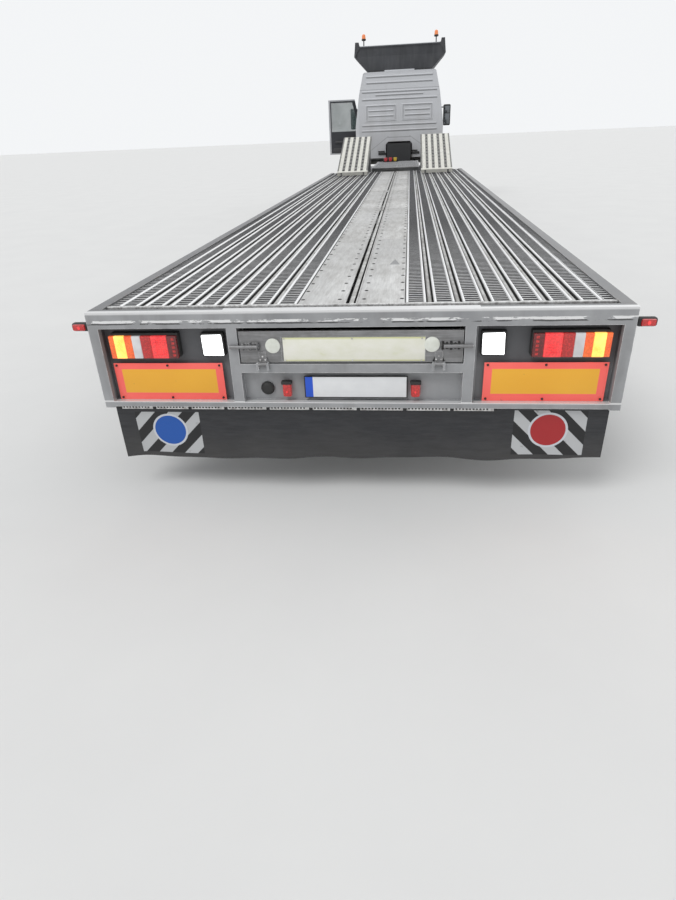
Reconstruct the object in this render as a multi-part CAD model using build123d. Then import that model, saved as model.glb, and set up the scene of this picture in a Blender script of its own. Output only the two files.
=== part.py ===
from build123d import *
import os
from math import cos, radians, sin, sqrt, tan

# Car transporter: a cab-over tractor and a flat low-deck semi-trailer that share one pivot.
# Sizes are in mm. x runs to the right of the centreline, y forward from the rear face
# of the trailer, and z up from the ground.

# Trailer: overall sizes and the deck
trailer_width = 2550
deck_height = 1000
deck_front = 10350
side_rail_width = 60
side_rail_height = 170
side_rail_wall = 10
plank_count = 7
plank_pitch = 133
plank_width = 98
plank_start = 130
plank_depth = 45
plank_wall = 5
ridge_width = 14
ridge_height = 8
centre_plate_inner = 24
centre_plate_gap = 4
centre_channel_gap = 2
front_beam_depth = 40
front_beam_height = 140

# Trailer: chassis under the deck
beam_inner = 560
beam_width = 120
beam_height = 285
beam_flange = 12
beam_web = 10
cross_member = 50
cross_member_count = 11
cross_member_first = 110
neck_length = 2550
neck_half_width = 470
neck_top = 1060
neck_bottom = 930
neck_sheet = 10
neck_rib_count = 4
neck_plate_back = 500
king_pin_ahead = 1650
king_pin_radius = 25.4
king_pin_length = 68
king_pin_flange = 36

# Trailer: rear frame with its recesses
rear_depth = 60
end_beam_height = 80
post_width = 50
rear_drop = 495
lower_rail_drop = 488
lower_rail_height = 28
centre_post_inner = 535
mid_rail_drop = 305
mid_rail_height = 45
back_sheet = 4
back_sheet_lap = 12
plate_recess = 44

# Trailer: hatch of the ramp store
hatch_gap = 5
hatch_thickness = 18
hatch_face = 8
hatch_height = 154
hatch_axis_y = -12
hatch_axis_drop = 257
hatch_pin_radius = 5
hatch_barrel_radius = 9
hatch_pin_clearance = 0.3
hatch_hinge_x = 420
hatch_lug_width = 10
hatch_barrel_length = 36
latch_drop = 170
latch_inner = 430
latch_hook_end = 575
sign_length = 685
sign_height = 120
sign_centre_x = 15
sign_drop = 248
sign_thickness = 3
store_half_width = 520
store_height = 165
store_length = 2600
store_sheet = 3

# Trailer: lamps, plates and the rubber flap
tail_lamp_inner = 838
tail_lamp_width = 344
tail_lamp_height = 124
tail_lamp_drop = 232
tail_lamp_face = 10
reversing_lamp_inner = 612
reversing_lamp_width = 116
reversing_lamp_height = 120
reversing_lamp_drop = 225
reversing_lamp_face = 22
marker_plate_inner = 635
marker_plate_width = 565
marker_plate_height = 190
marker_plate_drop = 455
marker_plate_face = 30
marker_plate_sheet = 3
number_plate_x = 24
number_plate_width = 508
number_plate_height = 112
number_plate_drop = 435
number_plate_sheet = 3
plate_holder_margin = 7
plate_holder_depth = 10
plate_lamp_x = 314
plate_lamp_drop = 395
plate_lamp_radius = 25
plate_lamp_depth = 38
outline_lamp_reach = 105
outline_lamp_drop = 75
outline_lamp_y = 45
outline_lamp_size = 50
outline_stalk_radius = 12
flap_half_width = 1215
flap_bottom = 235
flap_thickness = 8
flap_y = 30

# Trailer: running gear
trailer_axle_first = 3350
trailer_axle_spacing = 1310
trailer_tyre_radius = 398.5
trailer_tyre_width = 235
trailer_wheel_x = 1127.5
trailer_rim_radius = 222
axle_tube_radius = 55
drum_radius = 150
drum_width = 110
drum_to_hub = 0.5
arm_half_width = 40
arm_height = 50
arm_x = 620
arm_forward = 560
arm_rearward = 430
hanger_length = 110
air_spring_radius = 110
air_spring_offset = 320
mudguard_sheet = 6
mudguard_z = 835
mudguard_inner = 1000
mudguard_outer = 1205
mudguard_overhang = 460
mudguard_drop = 120

# Trailer: parking legs and side guards
leg_back = 1590
leg_size = 110
leg_inner = 700
leg_bottom = 330
leg_foot = 220
leg_foot_height = 20
leg_shaft_radius = 15
leg_shaft_z = 560
guard_behind_legs = 510
guard_length = 2800
guard_rail_height = 100
guard_rail_levels = (400, 620)
guard_thickness = 30
guard_outer = 1255
guard_post_width = 60

# Wheel ramps at the front of the deck
ramp_centre_x = 755
ramp_width = 550
ramp_length = 1600
ramp_thickness = 60
ramp_slope = 20
ramp_axis_back = 1120
ramp_axis_height = 48
ramp_sheet = 8
ramp_pin_radius = 12
ramp_lug_width = 20
ramp_lug_gap = 5
trestle_back = 110
trestle_tube = 50
trestle_gap = 0.3

# Tractor: chassis and coupling
rail_outer = 430
rail_width = 70
rail_bottom = 600
rail_height = 240
rail_wall = 10
rail_rear_overhang = 450
rail_front_overhang = 1140
rail_cross_offsets = (10, 1600, 3100, 4650, 5090)
rail_cross_depth = 90
rail_cross_height = 160
coupling_half_width = 430
coupling_rear = 400
coupling_front = 450
coupling_thickness = 41
coupling_gap = 0.3
coupling_slot = 32
pedestal_length = 360
pedestal_width = 60

# Tractor: axles, steering and wheels
coupling_ahead = 500
wheelbase = 3600
tyre_radius = 447.5
rim_radius = 248
drive_tyre_width = 264
drive_tyre_outer = 1207
twin_spacing = 310
drive_tube_radius = 75
differential_radius = 185
differential_half = 230
steer_tyre_width = 265
steer_wheel_x = 1050
steer_pivot_x = 868
steer_beam_height = 90
steer_beam_depth = 110
steer_beam_drop = 60
steer_boss_radius = 42
steer_boss_height = 110
knuckle_gap = 1
knuckle_ear = 30
knuckle_depth = 90
spindle_radius = 60
spring_x = 395
spring_width = 76
spring_pack = 60
spring_half_length = 620
spring_shackle = 60

# Tractor: what hangs on the chassis
tank_inner = 560
tank_outer = 1150
tank_ahead = 1400
tank_length = 1450
tank_bottom = 480
tank_height = 420
tank_round = 90
battery_ahead = 1950
battery_length = 620
air_tank_radius = 120
air_tank_ahead = 1250
air_tank_length = 560
air_strap_back = 250
air_strap_width = 60
silencer_ahead = 2610
silencer_length = 380
bracket_height = 120
drive_guard_radius = 520
drive_guard_sheet = 8
drive_guard_inner = 640
drive_guard_low = 12
drive_guard_high = 58
drive_guard_bar = 20
steer_guard_radius = 560
steer_guard_sheet = 8
steer_guard_low = 20
steer_guard_bar = 25
engine_half_width = 290
engine_back = 800
engine_length = 1580
engine_bottom = 640
engine_top = 1100
air_box_half_width = 300
air_box_length = 1000
air_box_top = 1410
engine_foot = 60
engine_foot_ahead = 200
engine_foot_back = 500
bumper_half_width = 1190
bumper_gap = 50
bumper_depth = 210
bumper_bottom = 350
bumper_top = 780
bumper_wall = 40
bumper_round = 140
headlamp_inner = 720
headlamp_width = 330
headlamp_height = 170
headlamp_bottom = 520
headlamp_depth = 60
step_ahead = 590
step_inner = 880
step_outer = 1150
step_levels = (380, 600)
step_thickness = 30
step_wall = 20

# Cab: outer form, walls and openings
cab_nose_ahead = 1375
cab_length = 2075
cab_half_low = 1080
cab_half_belt = 1090
cab_belt = 1800
cab_half_shoulder = 985
cab_shoulder = 2500
cab_half_roof = 880
cab_roof_edge = 2940
cab_half_top = 790
cab_top = 3000
cab_corner = 120
cab_plan_margin = 10
cab_screen_foot = 1750
cab_nose = 1050
cab_nose_back = 35
cab_belt_back = 25
cab_brow_back = 260
cab_brow = 2900
cab_roof_back = 375
cab_tail_drop = 35
cab_tail_slope = 60
cab_tail_edge = 80
cab_wall = 50
rib_width = 28
rib_depth = 10
rear_ribs = ((2865, 800), (2740, 800), (2550, 910), (2480, 580), (2390, 920), (1828, 920), (1705, 930))
emboss_inner = 80
emboss_outer = 815
emboss_bottom = 1920
emboss_top = 2255
emboss_margin = 60
arch_half_foot = 610
arch_half_top = 285
arch_foot = 1345
arch_top = 1570
cab_tilt_ahead = 160
cab_tilt_z = 830
cab_front_bottom = 855
cab_floor_bottom = 1080
cab_floor_thickness = 40
rear_post = 60
roof_split = 2790
door_hinge_back = 375
door_length = 860
door_inner_x = 700
door_bottom = 1150
door_top = 2480
door_slope = 140
door_slope_start = 180
door_gap = 6
door_belt = 1720
door_frame = 75
door_axis_out = 12
door_open = 80
door_hinge_levels = (1260, 1640)
door_hinge_half = 22
door_hinge_lug = 18
door_hinge_radius = 10
door_hinge_pin = 5
door_hinge_strap = 50
door_hinge_depth = 28
glass_thickness = 6
glass_inset = 20
screen_bottom = 1820
screen_top = 2800
screen_half_bottom = 930
screen_half_top = 850
tunnel_half_width = 330
tunnel_top = 1450
tunnel_sheet = 20
tunnel_back = 525
tilt_lug_x = 400
tilt_lug_width = 60
tilt_pin_radius = 20
tilt_pin_clearance = 0.3
tilt_boss_radius = 36
tilt_ear_width = 20
tilt_ear_gap = 5

# Cab: what is inside and on it
seat_x = 600
seat_width = 500
seat_back = 250
seat_depth = 500
seat_height = 460
seat_back_height = 720
seat_back_depth = 130
bunk_depth = 680
bunk_bottom = 1500
bunk_thickness = 120
bunk_half_width = 960
bunk_leg = 60
dash_back = 110
dash_bottom = 1480
dash_top = 1760
dash_depth = 350
dash_belly = 120
steering_wheel_radius = 225
steering_wheel_rim = 16
steering_wheel_x = -600
steering_wheel_back = 160
steering_wheel_z = 1830
steering_column_radius = 30
mirror_inner = 1165
mirror_width = 190
mirror_bottom = 1760
mirror_height = 500
mirror_ahead = 50
mirror_depth = 110
mirror_arm_radius = 14
deflector_ahead = 220
deflector_length = 1430
deflector_top = 3520
deflector_foot = 2985
deflector_nose = 3050
deflector_sheet = 35
deflector_half_foot = 780
deflector_half_waist = 1100
deflector_waist = 3300
deflector_recess = 15
deflector_crease = 10
fin_top = 3600
fin_outer = 1070
fin_width = 80
fin_length = 150
strut_size = 40
strut_x = 600
strut_ahead = 140
strut_spacing = 940
beacon_x = 865
beacon_ahead = 80
beacon_top = 3770
beacon_radius = 48
beacon_height = 130
beacon_stalk_radius = 14
visor_height = 160
visor_reach = 150
visor_thickness = 12
visor_root = 25
grille_half_width = 620
grille_bottom = 960
grille_top = 1380
grille_depth = 18
grille_border = 30
grille_slots = 6
grille_slot_depth = 12
grille_slot_share = 0.6

# Levels that follow from the sizes above
half_width = trailer_width / 2
plank_base = deck_height - plank_depth
beam_top = plank_base - cross_member
beam_bottom = beam_top - beam_height
beam_outer = beam_inner + beam_width
rail_inner_x = half_width - side_rail_width
rail_web_x = half_width - side_rail_wall
side_rail_bottom = deck_height - side_rail_height
plank_first = rail_inner_x - 22 - plank_count * plank_pitch
post_inner = half_width - post_width
centre_post_outer = centre_post_inner + post_width
rear_bottom = deck_height - rear_drop
lower_rail_bottom = deck_height - lower_rail_drop
mid_rail_bottom = deck_height - mid_rail_drop
hatch_axis_z = deck_height - hatch_axis_drop
latch_z = deck_height - latch_drop
sign_bottom = deck_height - sign_drop
tail_lamp_bottom = deck_height - tail_lamp_drop
reversing_lamp_bottom = deck_height - reversing_lamp_drop
marker_plate_bottom = deck_height - marker_plate_drop
number_plate_bottom = deck_height - number_plate_drop
plate_lamp_z = deck_height - plate_lamp_drop
outline_lamp_z = deck_height - outline_lamp_drop
lower_rail_top = lower_rail_bottom + lower_rail_height
mid_rail_top = mid_rail_bottom + mid_rail_height
end_beam_bottom = deck_height - end_beam_height
neck_front = deck_front + neck_length
rail_top = rail_bottom + rail_height
ramp_axis_z = deck_height + ramp_axis_height

# Places along the vehicle that follow from the sizes above
trailer_axle_y = (trailer_axle_first, trailer_axle_first + trailer_axle_spacing)
leg_y = deck_front - leg_back
guard_front = leg_y - guard_behind_legs
guard_rear = guard_front - guard_length
ramp_axis_y = deck_front - ramp_axis_back
trestle_y = deck_front - trestle_back
king_pin_y = deck_front + king_pin_ahead
drive_axle_y = king_pin_y - coupling_ahead
steer_axle_y = drive_axle_y + wheelbase
rail_rear = drive_axle_y - rail_rear_overhang
rail_front = steer_axle_y + rail_front_overhang
rail_cross_y = [rail_rear + offset for offset in rail_cross_offsets]
tank_rear = drive_axle_y + tank_ahead
battery_rear = drive_axle_y + battery_ahead
air_tank_rear = drive_axle_y + air_tank_ahead
silencer_rear = drive_axle_y + silencer_ahead
engine_rear = steer_axle_y - engine_back
engine_front = engine_rear + engine_length
air_box_front = engine_rear + air_box_length
bumper_rear = rail_front + bumper_gap
bumper_front = bumper_rear + bumper_depth
step_rear = steer_axle_y + step_ahead
step_front = rail_front
cab_front = steer_axle_y + cab_nose_ahead
cab_rear = cab_front - cab_length
cab_tilt_y = rail_front + cab_tilt_ahead
door_hinge_y = cab_front - door_hinge_back
door_rear = door_hinge_y - door_length
door_top_front = door_hinge_y - door_slope
tunnel_front = cab_front - tunnel_back
seat_front = door_hinge_y - seat_back
bunk_front = cab_rear + bunk_depth
dash_rear = door_hinge_y - dash_back
steering_wheel_y = dash_rear - steering_wheel_back
mirror_rear = door_hinge_y + mirror_ahead
deflector_rear = cab_rear + deflector_ahead
deflector_front = deflector_rear + deflector_length
strut_rear = deflector_rear + strut_ahead
strut_front = strut_rear + strut_spacing
beacon_y = deflector_rear + beacon_ahead
past_cab = cab_front + cab_corner
over_cab = cab_top + cab_corner

sides = (("left", -1), ("right", 1))
nodes = {}


def block(x0, x1, y0, y1, z0, z1):
    """A box between two corners."""
    centre = Pos((x0 + x1) / 2, (y0 + y1) / 2, (z0 + z1) / 2)
    return centre * Box(abs(x1 - x0), abs(y1 - y0), abs(z1 - z0))


def rod_x(x0, x1, y, z, radius):
    """A round bar across the vehicle."""
    return Pos((x0 + x1) / 2, y, z) * Rot(0, 90, 0) * Cylinder(radius, abs(x1 - x0))


def rod_y(x, y0, y1, z, radius):
    """A round bar along the vehicle."""
    return Pos(x, (y0 + y1) / 2, z) * Rot(90, 0, 0) * Cylinder(radius, abs(y1 - y0))


def rod_z(x, y, z0, z1, radius):
    """An upright round bar."""
    return Pos(x, y, (z0 + z1) / 2) * Cylinder(radius, abs(z1 - z0))


def prism_x(outline, x0, x1):
    """An outline of (y, z) points, drawn out from x0 to x1."""
    plane = Plane(origin=(min(x0, x1), 0, 0), x_dir=(0, 1, 0), z_dir=(1, 0, 0))
    return extrude(plane * Polygon(*outline, align=None), abs(x1 - x0), dir=plane.z_dir)


def prism_y(outline, y0, y1):
    """An outline of (x, z) points, drawn out from y0 to y1."""
    plane = Plane(origin=(0, max(y0, y1), 0), x_dir=(1, 0, 0), z_dir=(0, -1, 0))
    return extrude(plane * Polygon(*outline, align=None), abs(y1 - y0), dir=plane.z_dir)


def mirrored(solid):
    """The same piece on the other side of the centreline."""
    return mirror(solid, about=Plane.YZ)


def both(solid):
    """The piece and its twin on the other side."""
    return [solid, mirrored(solid)]


def node(name, *pieces):
    """Files one named piece, or the like pieces that share a name."""
    flat = []
    for piece in pieces:
        flat.extend(piece if isinstance(piece, (list, tuple)) else [piece])
    solids = []
    for piece in flat:
        solids.extend(piece.solids())
    nodes[name] = solids


def tyre(radius, inner_radius, width):
    """A tyre about the x axis: beads, bulged side walls, shoulders and a flat tread."""
    bead = width * 0.36
    shoulder = width * 0.44
    tread = width * 0.40
    shoulder_radius = radius - width * 0.10
    middle = (inner_radius + shoulder_radius) / 2
    section = [
        Line((-bead, inner_radius), (bead, inner_radius)),
        ThreePointArc((bead, inner_radius), (width / 2, middle), (shoulder, shoulder_radius)),
        Line((shoulder, shoulder_radius), (tread, radius)),
        Line((tread, radius), (-tread, radius)),
        Line((-tread, radius), (-shoulder, shoulder_radius)),
        ThreePointArc((-shoulder, shoulder_radius), (-width / 2, middle), (-bead, inner_radius)),
    ]
    return revolve(make_face(section), axis=Axis.X)


def rim(outer_radius, width, disc_x, hub_inner, hub_radius, side):
    """A steel rim with its disc, hand holes and hub, about the x axis, outboard on side."""
    barrel_half = width * 0.36
    lip = 14
    disc = 14
    holes = 8
    hole_circle = outer_radius * 0.72
    hole_radius = outer_radius * 0.115
    cap_radius = hub_radius * 0.75
    cap_end = barrel_half + 12
    ring = rod_x(-barrel_half, barrel_half, 0, 0, outer_radius)
    ring -= rod_x(-barrel_half - 1, barrel_half + 1, 0, 0, outer_radius - lip)
    plate = rod_x(disc_x, disc_x + disc, 0, 0, outer_radius - lip / 2)
    for index in range(holes):
        turn = radians(index * 360 / holes)
        hole_y = hole_circle * cos(turn)
        hole_z = hole_circle * sin(turn)
        plate -= rod_x(disc_x - 1, disc_x + disc + 1, hole_y, hole_z, hole_radius)
    hub = rod_x(hub_inner, disc_x + disc / 2, 0, 0, hub_radius)
    cap = rod_x(disc_x, cap_end, 0, 0, cap_radius)
    wheel = ring + plate + hub + cap
    return wheel if side > 0 else mirrored(wheel)


# Chassis: two I-beams with cross members on top and a beam across the front of the deck
def main_beam(side):
    centre = side * (beam_inner + beam_width / 2)
    half = beam_width / 2
    web = beam_web / 2
    outline = [
        (centre - half, beam_bottom), (centre + half, beam_bottom),
        (centre + half, beam_bottom + beam_flange), (centre + web, beam_bottom + beam_flange),
        (centre + web, beam_top - beam_flange), (centre + half, beam_top - beam_flange),
        (centre + half, beam_top), (centre - half, beam_top),
        (centre - half, beam_top - beam_flange), (centre - web, beam_top - beam_flange),
        (centre - web, beam_bottom + beam_flange), (centre - half, beam_bottom + beam_flange),
    ]
    return prism_y(outline, rear_depth + back_sheet, deck_front)


cross_member_last = deck_front - front_beam_depth - 100
cross_member_pitch = (cross_member_last - cross_member_first) / (cross_member_count - 1)
chassis = main_beam(-1) + main_beam(1)
node("trailer_chassis", chassis)
front_beam_rear = deck_front - front_beam_depth
front_beam_bottom = deck_height - front_beam_height
members = [block(-rail_web_x, rail_web_x, front_beam_rear, deck_front, front_beam_bottom,
                 deck_height - side_rail_wall) - chassis]
for index in range(cross_member_count):
    member_y = cross_member_first + index * cross_member_pitch
    members.append(block(-rail_web_x, rail_web_x, member_y, member_y + cross_member, beam_top, plank_base))
node("cross_members", members)

# Side rails: channels open to the inside, over the ends of the cross members
rail_outline = [
    (half_width, side_rail_bottom), (half_width, deck_height), (rail_inner_x, deck_height),
    (rail_inner_x, deck_height - side_rail_wall), (rail_web_x, deck_height - side_rail_wall),
    (rail_web_x, side_rail_bottom + side_rail_wall), (rail_inner_x, side_rail_bottom + side_rail_wall),
    (rail_inner_x, side_rail_bottom),
]
node("side_rails", both(prism_y(rail_outline, rear_depth + back_sheet, deck_front)))


# Deck: seven ridged planks a side, two smooth plates and a channel between them
def plank(inner):
    outer = inner + plank_width
    tread = deck_height - ridge_height
    under = tread - plank_wall
    outline = [
        (inner, plank_base), (inner, deck_height), (inner + ridge_width, deck_height),
        (inner + ridge_width, tread), (outer - ridge_width, tread), (outer - ridge_width, deck_height),
        (outer, deck_height), (outer, plank_base), (outer - plank_wall, plank_base),
        (outer - plank_wall, under), (inner + plank_wall, under), (inner + plank_wall, plank_base),
    ]
    return prism_y(outline, plank_start, front_beam_rear)


right_planks = [plank(plank_first + index * plank_pitch) for index in range(plank_count)]
left_planks = [mirrored(solid) for solid in right_planks]
centre_plate_outer = plank_first - centre_plate_gap
plate_under = deck_height - plank_wall
plate_outline = [
    (centre_plate_inner, plank_base), (centre_plate_inner, deck_height),
    (centre_plate_outer, deck_height), (centre_plate_outer, plank_base),
    (centre_plate_outer - plank_wall, plank_base), (centre_plate_outer - plank_wall, plate_under),
    (centre_plate_inner + plank_wall, plate_under), (centre_plate_inner + plank_wall, plank_base),
]
centre_plates = both(prism_y(plate_outline, plank_start, front_beam_rear))
channel_half = centre_plate_inner - centre_channel_gap
channel_floor = plank_base + plank_wall
channel = block(-channel_half, channel_half, plank_start, front_beam_rear, plank_base, deck_height - 10)
channel -= block(-channel_half + plank_wall, channel_half - plank_wall, plank_start - 1,
                 front_beam_rear + 1, channel_floor, deck_height)
node("deck_planks", left_planks, right_planks, centre_plates, channel)

# Neck: a shallow box over the tractor, open at its ends, with the king pin under it
neck_web_x = neck_half_width - neck_sheet
neck = block(-neck_half_width, neck_half_width, deck_front, neck_front, neck_top - neck_sheet, neck_top)
neck += block(-neck_half_width, neck_half_width, king_pin_y - neck_plate_back, neck_front, neck_bottom,
              neck_bottom + neck_sheet)
for side in (-1, 1):
    neck += block(side * neck_web_x, side * neck_half_width, deck_front, neck_front,
                  neck_bottom + neck_sheet, neck_top - neck_sheet)
neck_rib_pitch = neck_length / (neck_rib_count + 1)
for index in range(neck_rib_count):
    rib_y = deck_front + (index + 1) * neck_rib_pitch
    neck += block(-neck_web_x, neck_web_x, rib_y, rib_y + neck_sheet, neck_bottom + neck_sheet,
                  neck_top - neck_sheet)
king_pin = rod_z(0, king_pin_y, neck_bottom - king_pin_length, neck_bottom, king_pin_radius)
king_pin += rod_z(0, king_pin_y, neck_bottom - king_pin_length, neck_bottom - king_pin_length + 12,
                  king_pin_flange)
node("neck", neck + king_pin)

# Rear frame: end beam, corner and centre posts, middle and lower rails, hinge lugs
rear = block(-half_width, half_width, 0, rear_depth, end_beam_bottom, deck_height)
for side in (-1, 1):
    rear += block(side * post_inner, side * half_width, 0, rear_depth, rear_bottom, end_beam_bottom)
    rear += block(side * centre_post_inner, side * centre_post_outer, 0, rear_depth, lower_rail_bottom,
                  end_beam_bottom)
    for end in (-1, 1):
        lug_inner = side * hatch_hinge_x + end * (hatch_barrel_length / 2 + 2)
        lug_outer = lug_inner + end * hatch_lug_width
        rear += block(lug_inner, lug_outer, hatch_axis_y - hatch_barrel_radius, 0,
                      hatch_axis_z - 3 * hatch_barrel_radius, hatch_axis_z + hatch_barrel_radius)
    pin_half = hatch_barrel_length / 2 + 2 + hatch_lug_width
    rear += rod_x(side * hatch_hinge_x - pin_half, side * hatch_hinge_x + pin_half, hatch_axis_y,
                  hatch_axis_z, hatch_pin_radius)
rear += block(-post_inner, post_inner, 0, rear_depth, lower_rail_bottom, lower_rail_top)
rear += block(-centre_post_inner, centre_post_inner, 0, rear_depth, mid_rail_bottom, mid_rail_top)
lamp_sheet = block(centre_post_inner, post_inner + back_sheet_lap, rear_depth, rear_depth + back_sheet,
                   lower_rail_bottom, end_beam_bottom + back_sheet_lap)
plate_sheet = block(-centre_post_inner, centre_post_inner, plate_recess, plate_recess + back_sheet,
                    lower_rail_top, mid_rail_bottom)
for sheet in (*both(lamp_sheet), plate_sheet):
    rear += sheet
node("rear_frame", rear)

# Hatch of the ramp store, its fittings, and the store behind it
hatch_half = centre_post_inner - hatch_gap
hatch_bottom = mid_rail_top + hatch_gap + 1
hatch_top = hatch_bottom + hatch_height
hatch = block(-hatch_half, hatch_half, hatch_face, hatch_face + hatch_thickness, hatch_bottom, hatch_top)
for side in (-1, 1):
    hinge_x = side * hatch_hinge_x
    half = hatch_barrel_length / 2
    leaf = block(hinge_x - half, hinge_x + half, hatch_axis_y, hatch_face, hatch_axis_z, hatch_bottom + 56)
    leaf -= block(hinge_x - half - 1, hinge_x + half + 1, hatch_axis_y - 1, hatch_face - 5,
                  hatch_axis_z + hatch_barrel_radius, hatch_bottom + 57)
    leaf += rod_x(hinge_x - half, hinge_x + half, hatch_axis_y, hatch_axis_z, hatch_barrel_radius)
    leaf -= rod_x(hinge_x - half - 1, hinge_x + half + 1, hatch_axis_y, hatch_axis_z,
                  hatch_pin_radius + hatch_pin_clearance)
    catch = block(side * latch_inner, side * (hatch_half - 10), 0, hatch_face, latch_z - 15, latch_z + 15)
    catch += rod_x(side * (latch_inner + 10), side * latch_hook_end, -12, latch_z, 9)
    catch += block(side * (latch_inner + 25), side * (latch_inner + 45), -12, 0, latch_z - 9, latch_z + 9)
    hatch += leaf + catch
hatch += block(sign_centre_x - sign_length / 2, sign_centre_x + sign_length / 2,
               hatch_face - sign_thickness, hatch_face, sign_bottom, sign_bottom + sign_height)
node("hatch", hatch)
store_top = beam_top
store_bottom = store_top - store_height
store_front = rear_depth + store_length
store = block(-store_half_width, store_half_width, rear_depth, store_front, store_bottom, store_top)
store -= block(-store_half_width + store_sheet, store_half_width - store_sheet, rear_depth - 1,
               store_front - store_sheet, store_bottom + store_sheet, store_top - store_sheet)
node("ramp_store", store)

# Lamps, plates and the flap at the rear
tail_lamps = both(block(tail_lamp_inner, tail_lamp_inner + tail_lamp_width, tail_lamp_face,
                        rear_depth, tail_lamp_bottom, tail_lamp_bottom + tail_lamp_height))
reversing_lamps = both(block(reversing_lamp_inner, reversing_lamp_inner + reversing_lamp_width,
                             reversing_lamp_face, rear_depth, reversing_lamp_bottom,
                             reversing_lamp_bottom + reversing_lamp_height))
marker_outer = marker_plate_inner + marker_plate_width
marker_top = marker_plate_bottom + marker_plate_height
marker_back = marker_plate_face + marker_plate_sheet
marker = block(marker_plate_inner, marker_outer, marker_plate_face, marker_back, marker_plate_bottom,
               marker_top)
for spacer_x in (marker_plate_inner + 30, marker_outer - 30):
    for spacer_z in (marker_plate_bottom + 30, marker_top - 30):
        marker += rod_y(spacer_x, marker_back, rear_depth, spacer_z, 10)
plate_left = number_plate_x - number_plate_width / 2
plate_right = number_plate_x + number_plate_width / 2
plate_top = number_plate_bottom + number_plate_height
holder_front = plate_recess - plate_holder_depth
plate = block(plate_left - plate_holder_margin, plate_right + plate_holder_margin,
              holder_front, plate_recess, number_plate_bottom - plate_holder_margin,
              plate_top + plate_holder_margin)
plate += block(plate_left, plate_right, holder_front - number_plate_sheet, holder_front,
               number_plate_bottom, plate_top)
node("rear_plates", both(marker), plate)
plate_lamps = both(rod_y(plate_lamp_x, plate_recess - plate_lamp_depth, plate_recess, plate_lamp_z,
                         plate_lamp_radius))
outline_tip = half_width + outline_lamp_reach
outline_lamp = rod_x(half_width, outline_tip - outline_lamp_size / 2, outline_lamp_y, outline_lamp_z,
                     outline_stalk_radius)
outline_lamp += block(outline_tip - outline_lamp_size, outline_tip, outline_lamp_y - outline_lamp_size / 2,
                      outline_lamp_y + outline_lamp_size / 2, outline_lamp_z - outline_lamp_size / 2,
                      outline_lamp_z + outline_lamp_size / 2)
node("rear_lamps", tail_lamps, reversing_lamps, plate_lamps, both(outline_lamp))
node("rubber_flap", block(-flap_half_width, flap_half_width, flap_y, flap_y + flap_thickness, flap_bottom,
                          lower_rail_bottom))

# Running gear of the trailer: axle tubes with drums, trailing arms with air springs
axles = []
drum_face = trailer_wheel_x - trailer_tyre_width / 2 - 12
axle_z = trailer_tyre_radius
arm_bottom = axle_z + axle_tube_radius
arm_top = arm_bottom + arm_height
for axle_y in trailer_axle_y:
    axle = rod_x(-drum_face, drum_face, axle_y, axle_z, axle_tube_radius)
    for side in (-1, 1):
        axle += rod_x(side * (drum_face - drum_width), side * drum_face, axle_y, axle_z, drum_radius)
        arm_x0 = side * arm_x - arm_half_width
        arm_x1 = side * arm_x + arm_half_width
        arm = block(arm_x0, arm_x1, axle_y - arm_rearward, axle_y + arm_forward, arm_bottom, arm_top)
        arm += block(arm_x0, arm_x1, axle_y + arm_forward - hanger_length, axle_y + arm_forward,
                     arm_bottom, beam_bottom)
        arm += rod_z(side * arm_x, axle_y - air_spring_offset, arm_top, beam_bottom, air_spring_radius)
        axle += arm
    axles.append(axle)
node("trailer_axles", axles)

trailer_wheels = (("rear", trailer_axle_y[0]), ("front", trailer_axle_y[1]))
hub_start = drum_face + drum_to_hub - trailer_wheel_x
for row, axle_y in trailer_wheels:
    for side_name, side in sides:
        place = Pos(side * trailer_wheel_x, axle_y, axle_z)
        node(f"tyre_{row}_{side_name}", place * tyre(trailer_tyre_radius, trailer_rim_radius,
                                                     trailer_tyre_width))
        node(f"rim_{row}_{side_name}", place * rim(trailer_rim_radius, trailer_tyre_width, 20, hub_start,
                                                   110, side))

guard_rear_y = trailer_axle_y[0] - mudguard_overhang
guard_front_y = trailer_axle_y[1] + mudguard_overhang
guard_outline = [
    (guard_rear_y, mudguard_z), (guard_front_y, mudguard_z),
    (guard_front_y + 60, mudguard_z - mudguard_drop), (guard_front_y + 54, mudguard_z - mudguard_drop),
    (guard_front_y - 5, mudguard_z - mudguard_sheet), (guard_rear_y + 5, mudguard_z - mudguard_sheet),
    (guard_rear_y - 54, mudguard_z - mudguard_drop), (guard_rear_y - 60, mudguard_z - mudguard_drop),
]
mudguard = prism_x(guard_outline, mudguard_inner, mudguard_outer)
for index in range(cross_member_count):
    member_y = cross_member_first + index * cross_member_pitch
    if guard_rear_y < member_y < guard_front_y - cross_member:
        mudguard += block(mudguard_inner, mudguard_inner + 40, member_y, member_y + cross_member,
                          mudguard_z, beam_top)
node("trailer_mudguards", both(mudguard))

# Parking legs with their cross shaft, and the side guards
legs = rod_x(-leg_inner, leg_inner, leg_y + leg_size / 2, leg_shaft_z, leg_shaft_radius)
leg_bracket = 90
for side in (-1, 1):
    legs += block(side * leg_inner, side * (leg_inner + leg_size), leg_y, leg_y + leg_size,
                  leg_bottom + leg_foot_height, beam_top)
    legs += block(side * beam_outer, side * leg_inner, leg_y, leg_y + leg_size, beam_top - leg_bracket,
                  beam_top)
    foot_centre = side * (leg_inner + leg_size / 2)
    legs += block(foot_centre - leg_foot / 2, foot_centre + leg_foot / 2, leg_y - 40, leg_y + leg_size + 40,
                  leg_bottom, leg_bottom + leg_foot_height)
node("parking_legs", legs)
guard_inner = guard_outer - guard_thickness
guard = None
for level in guard_rail_levels:
    rail = block(guard_inner, guard_outer, guard_rear, guard_front, level, level + guard_rail_height)
    guard = rail if guard is None else guard + rail
guard_middle = (guard_rear + guard_front) / 2
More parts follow.
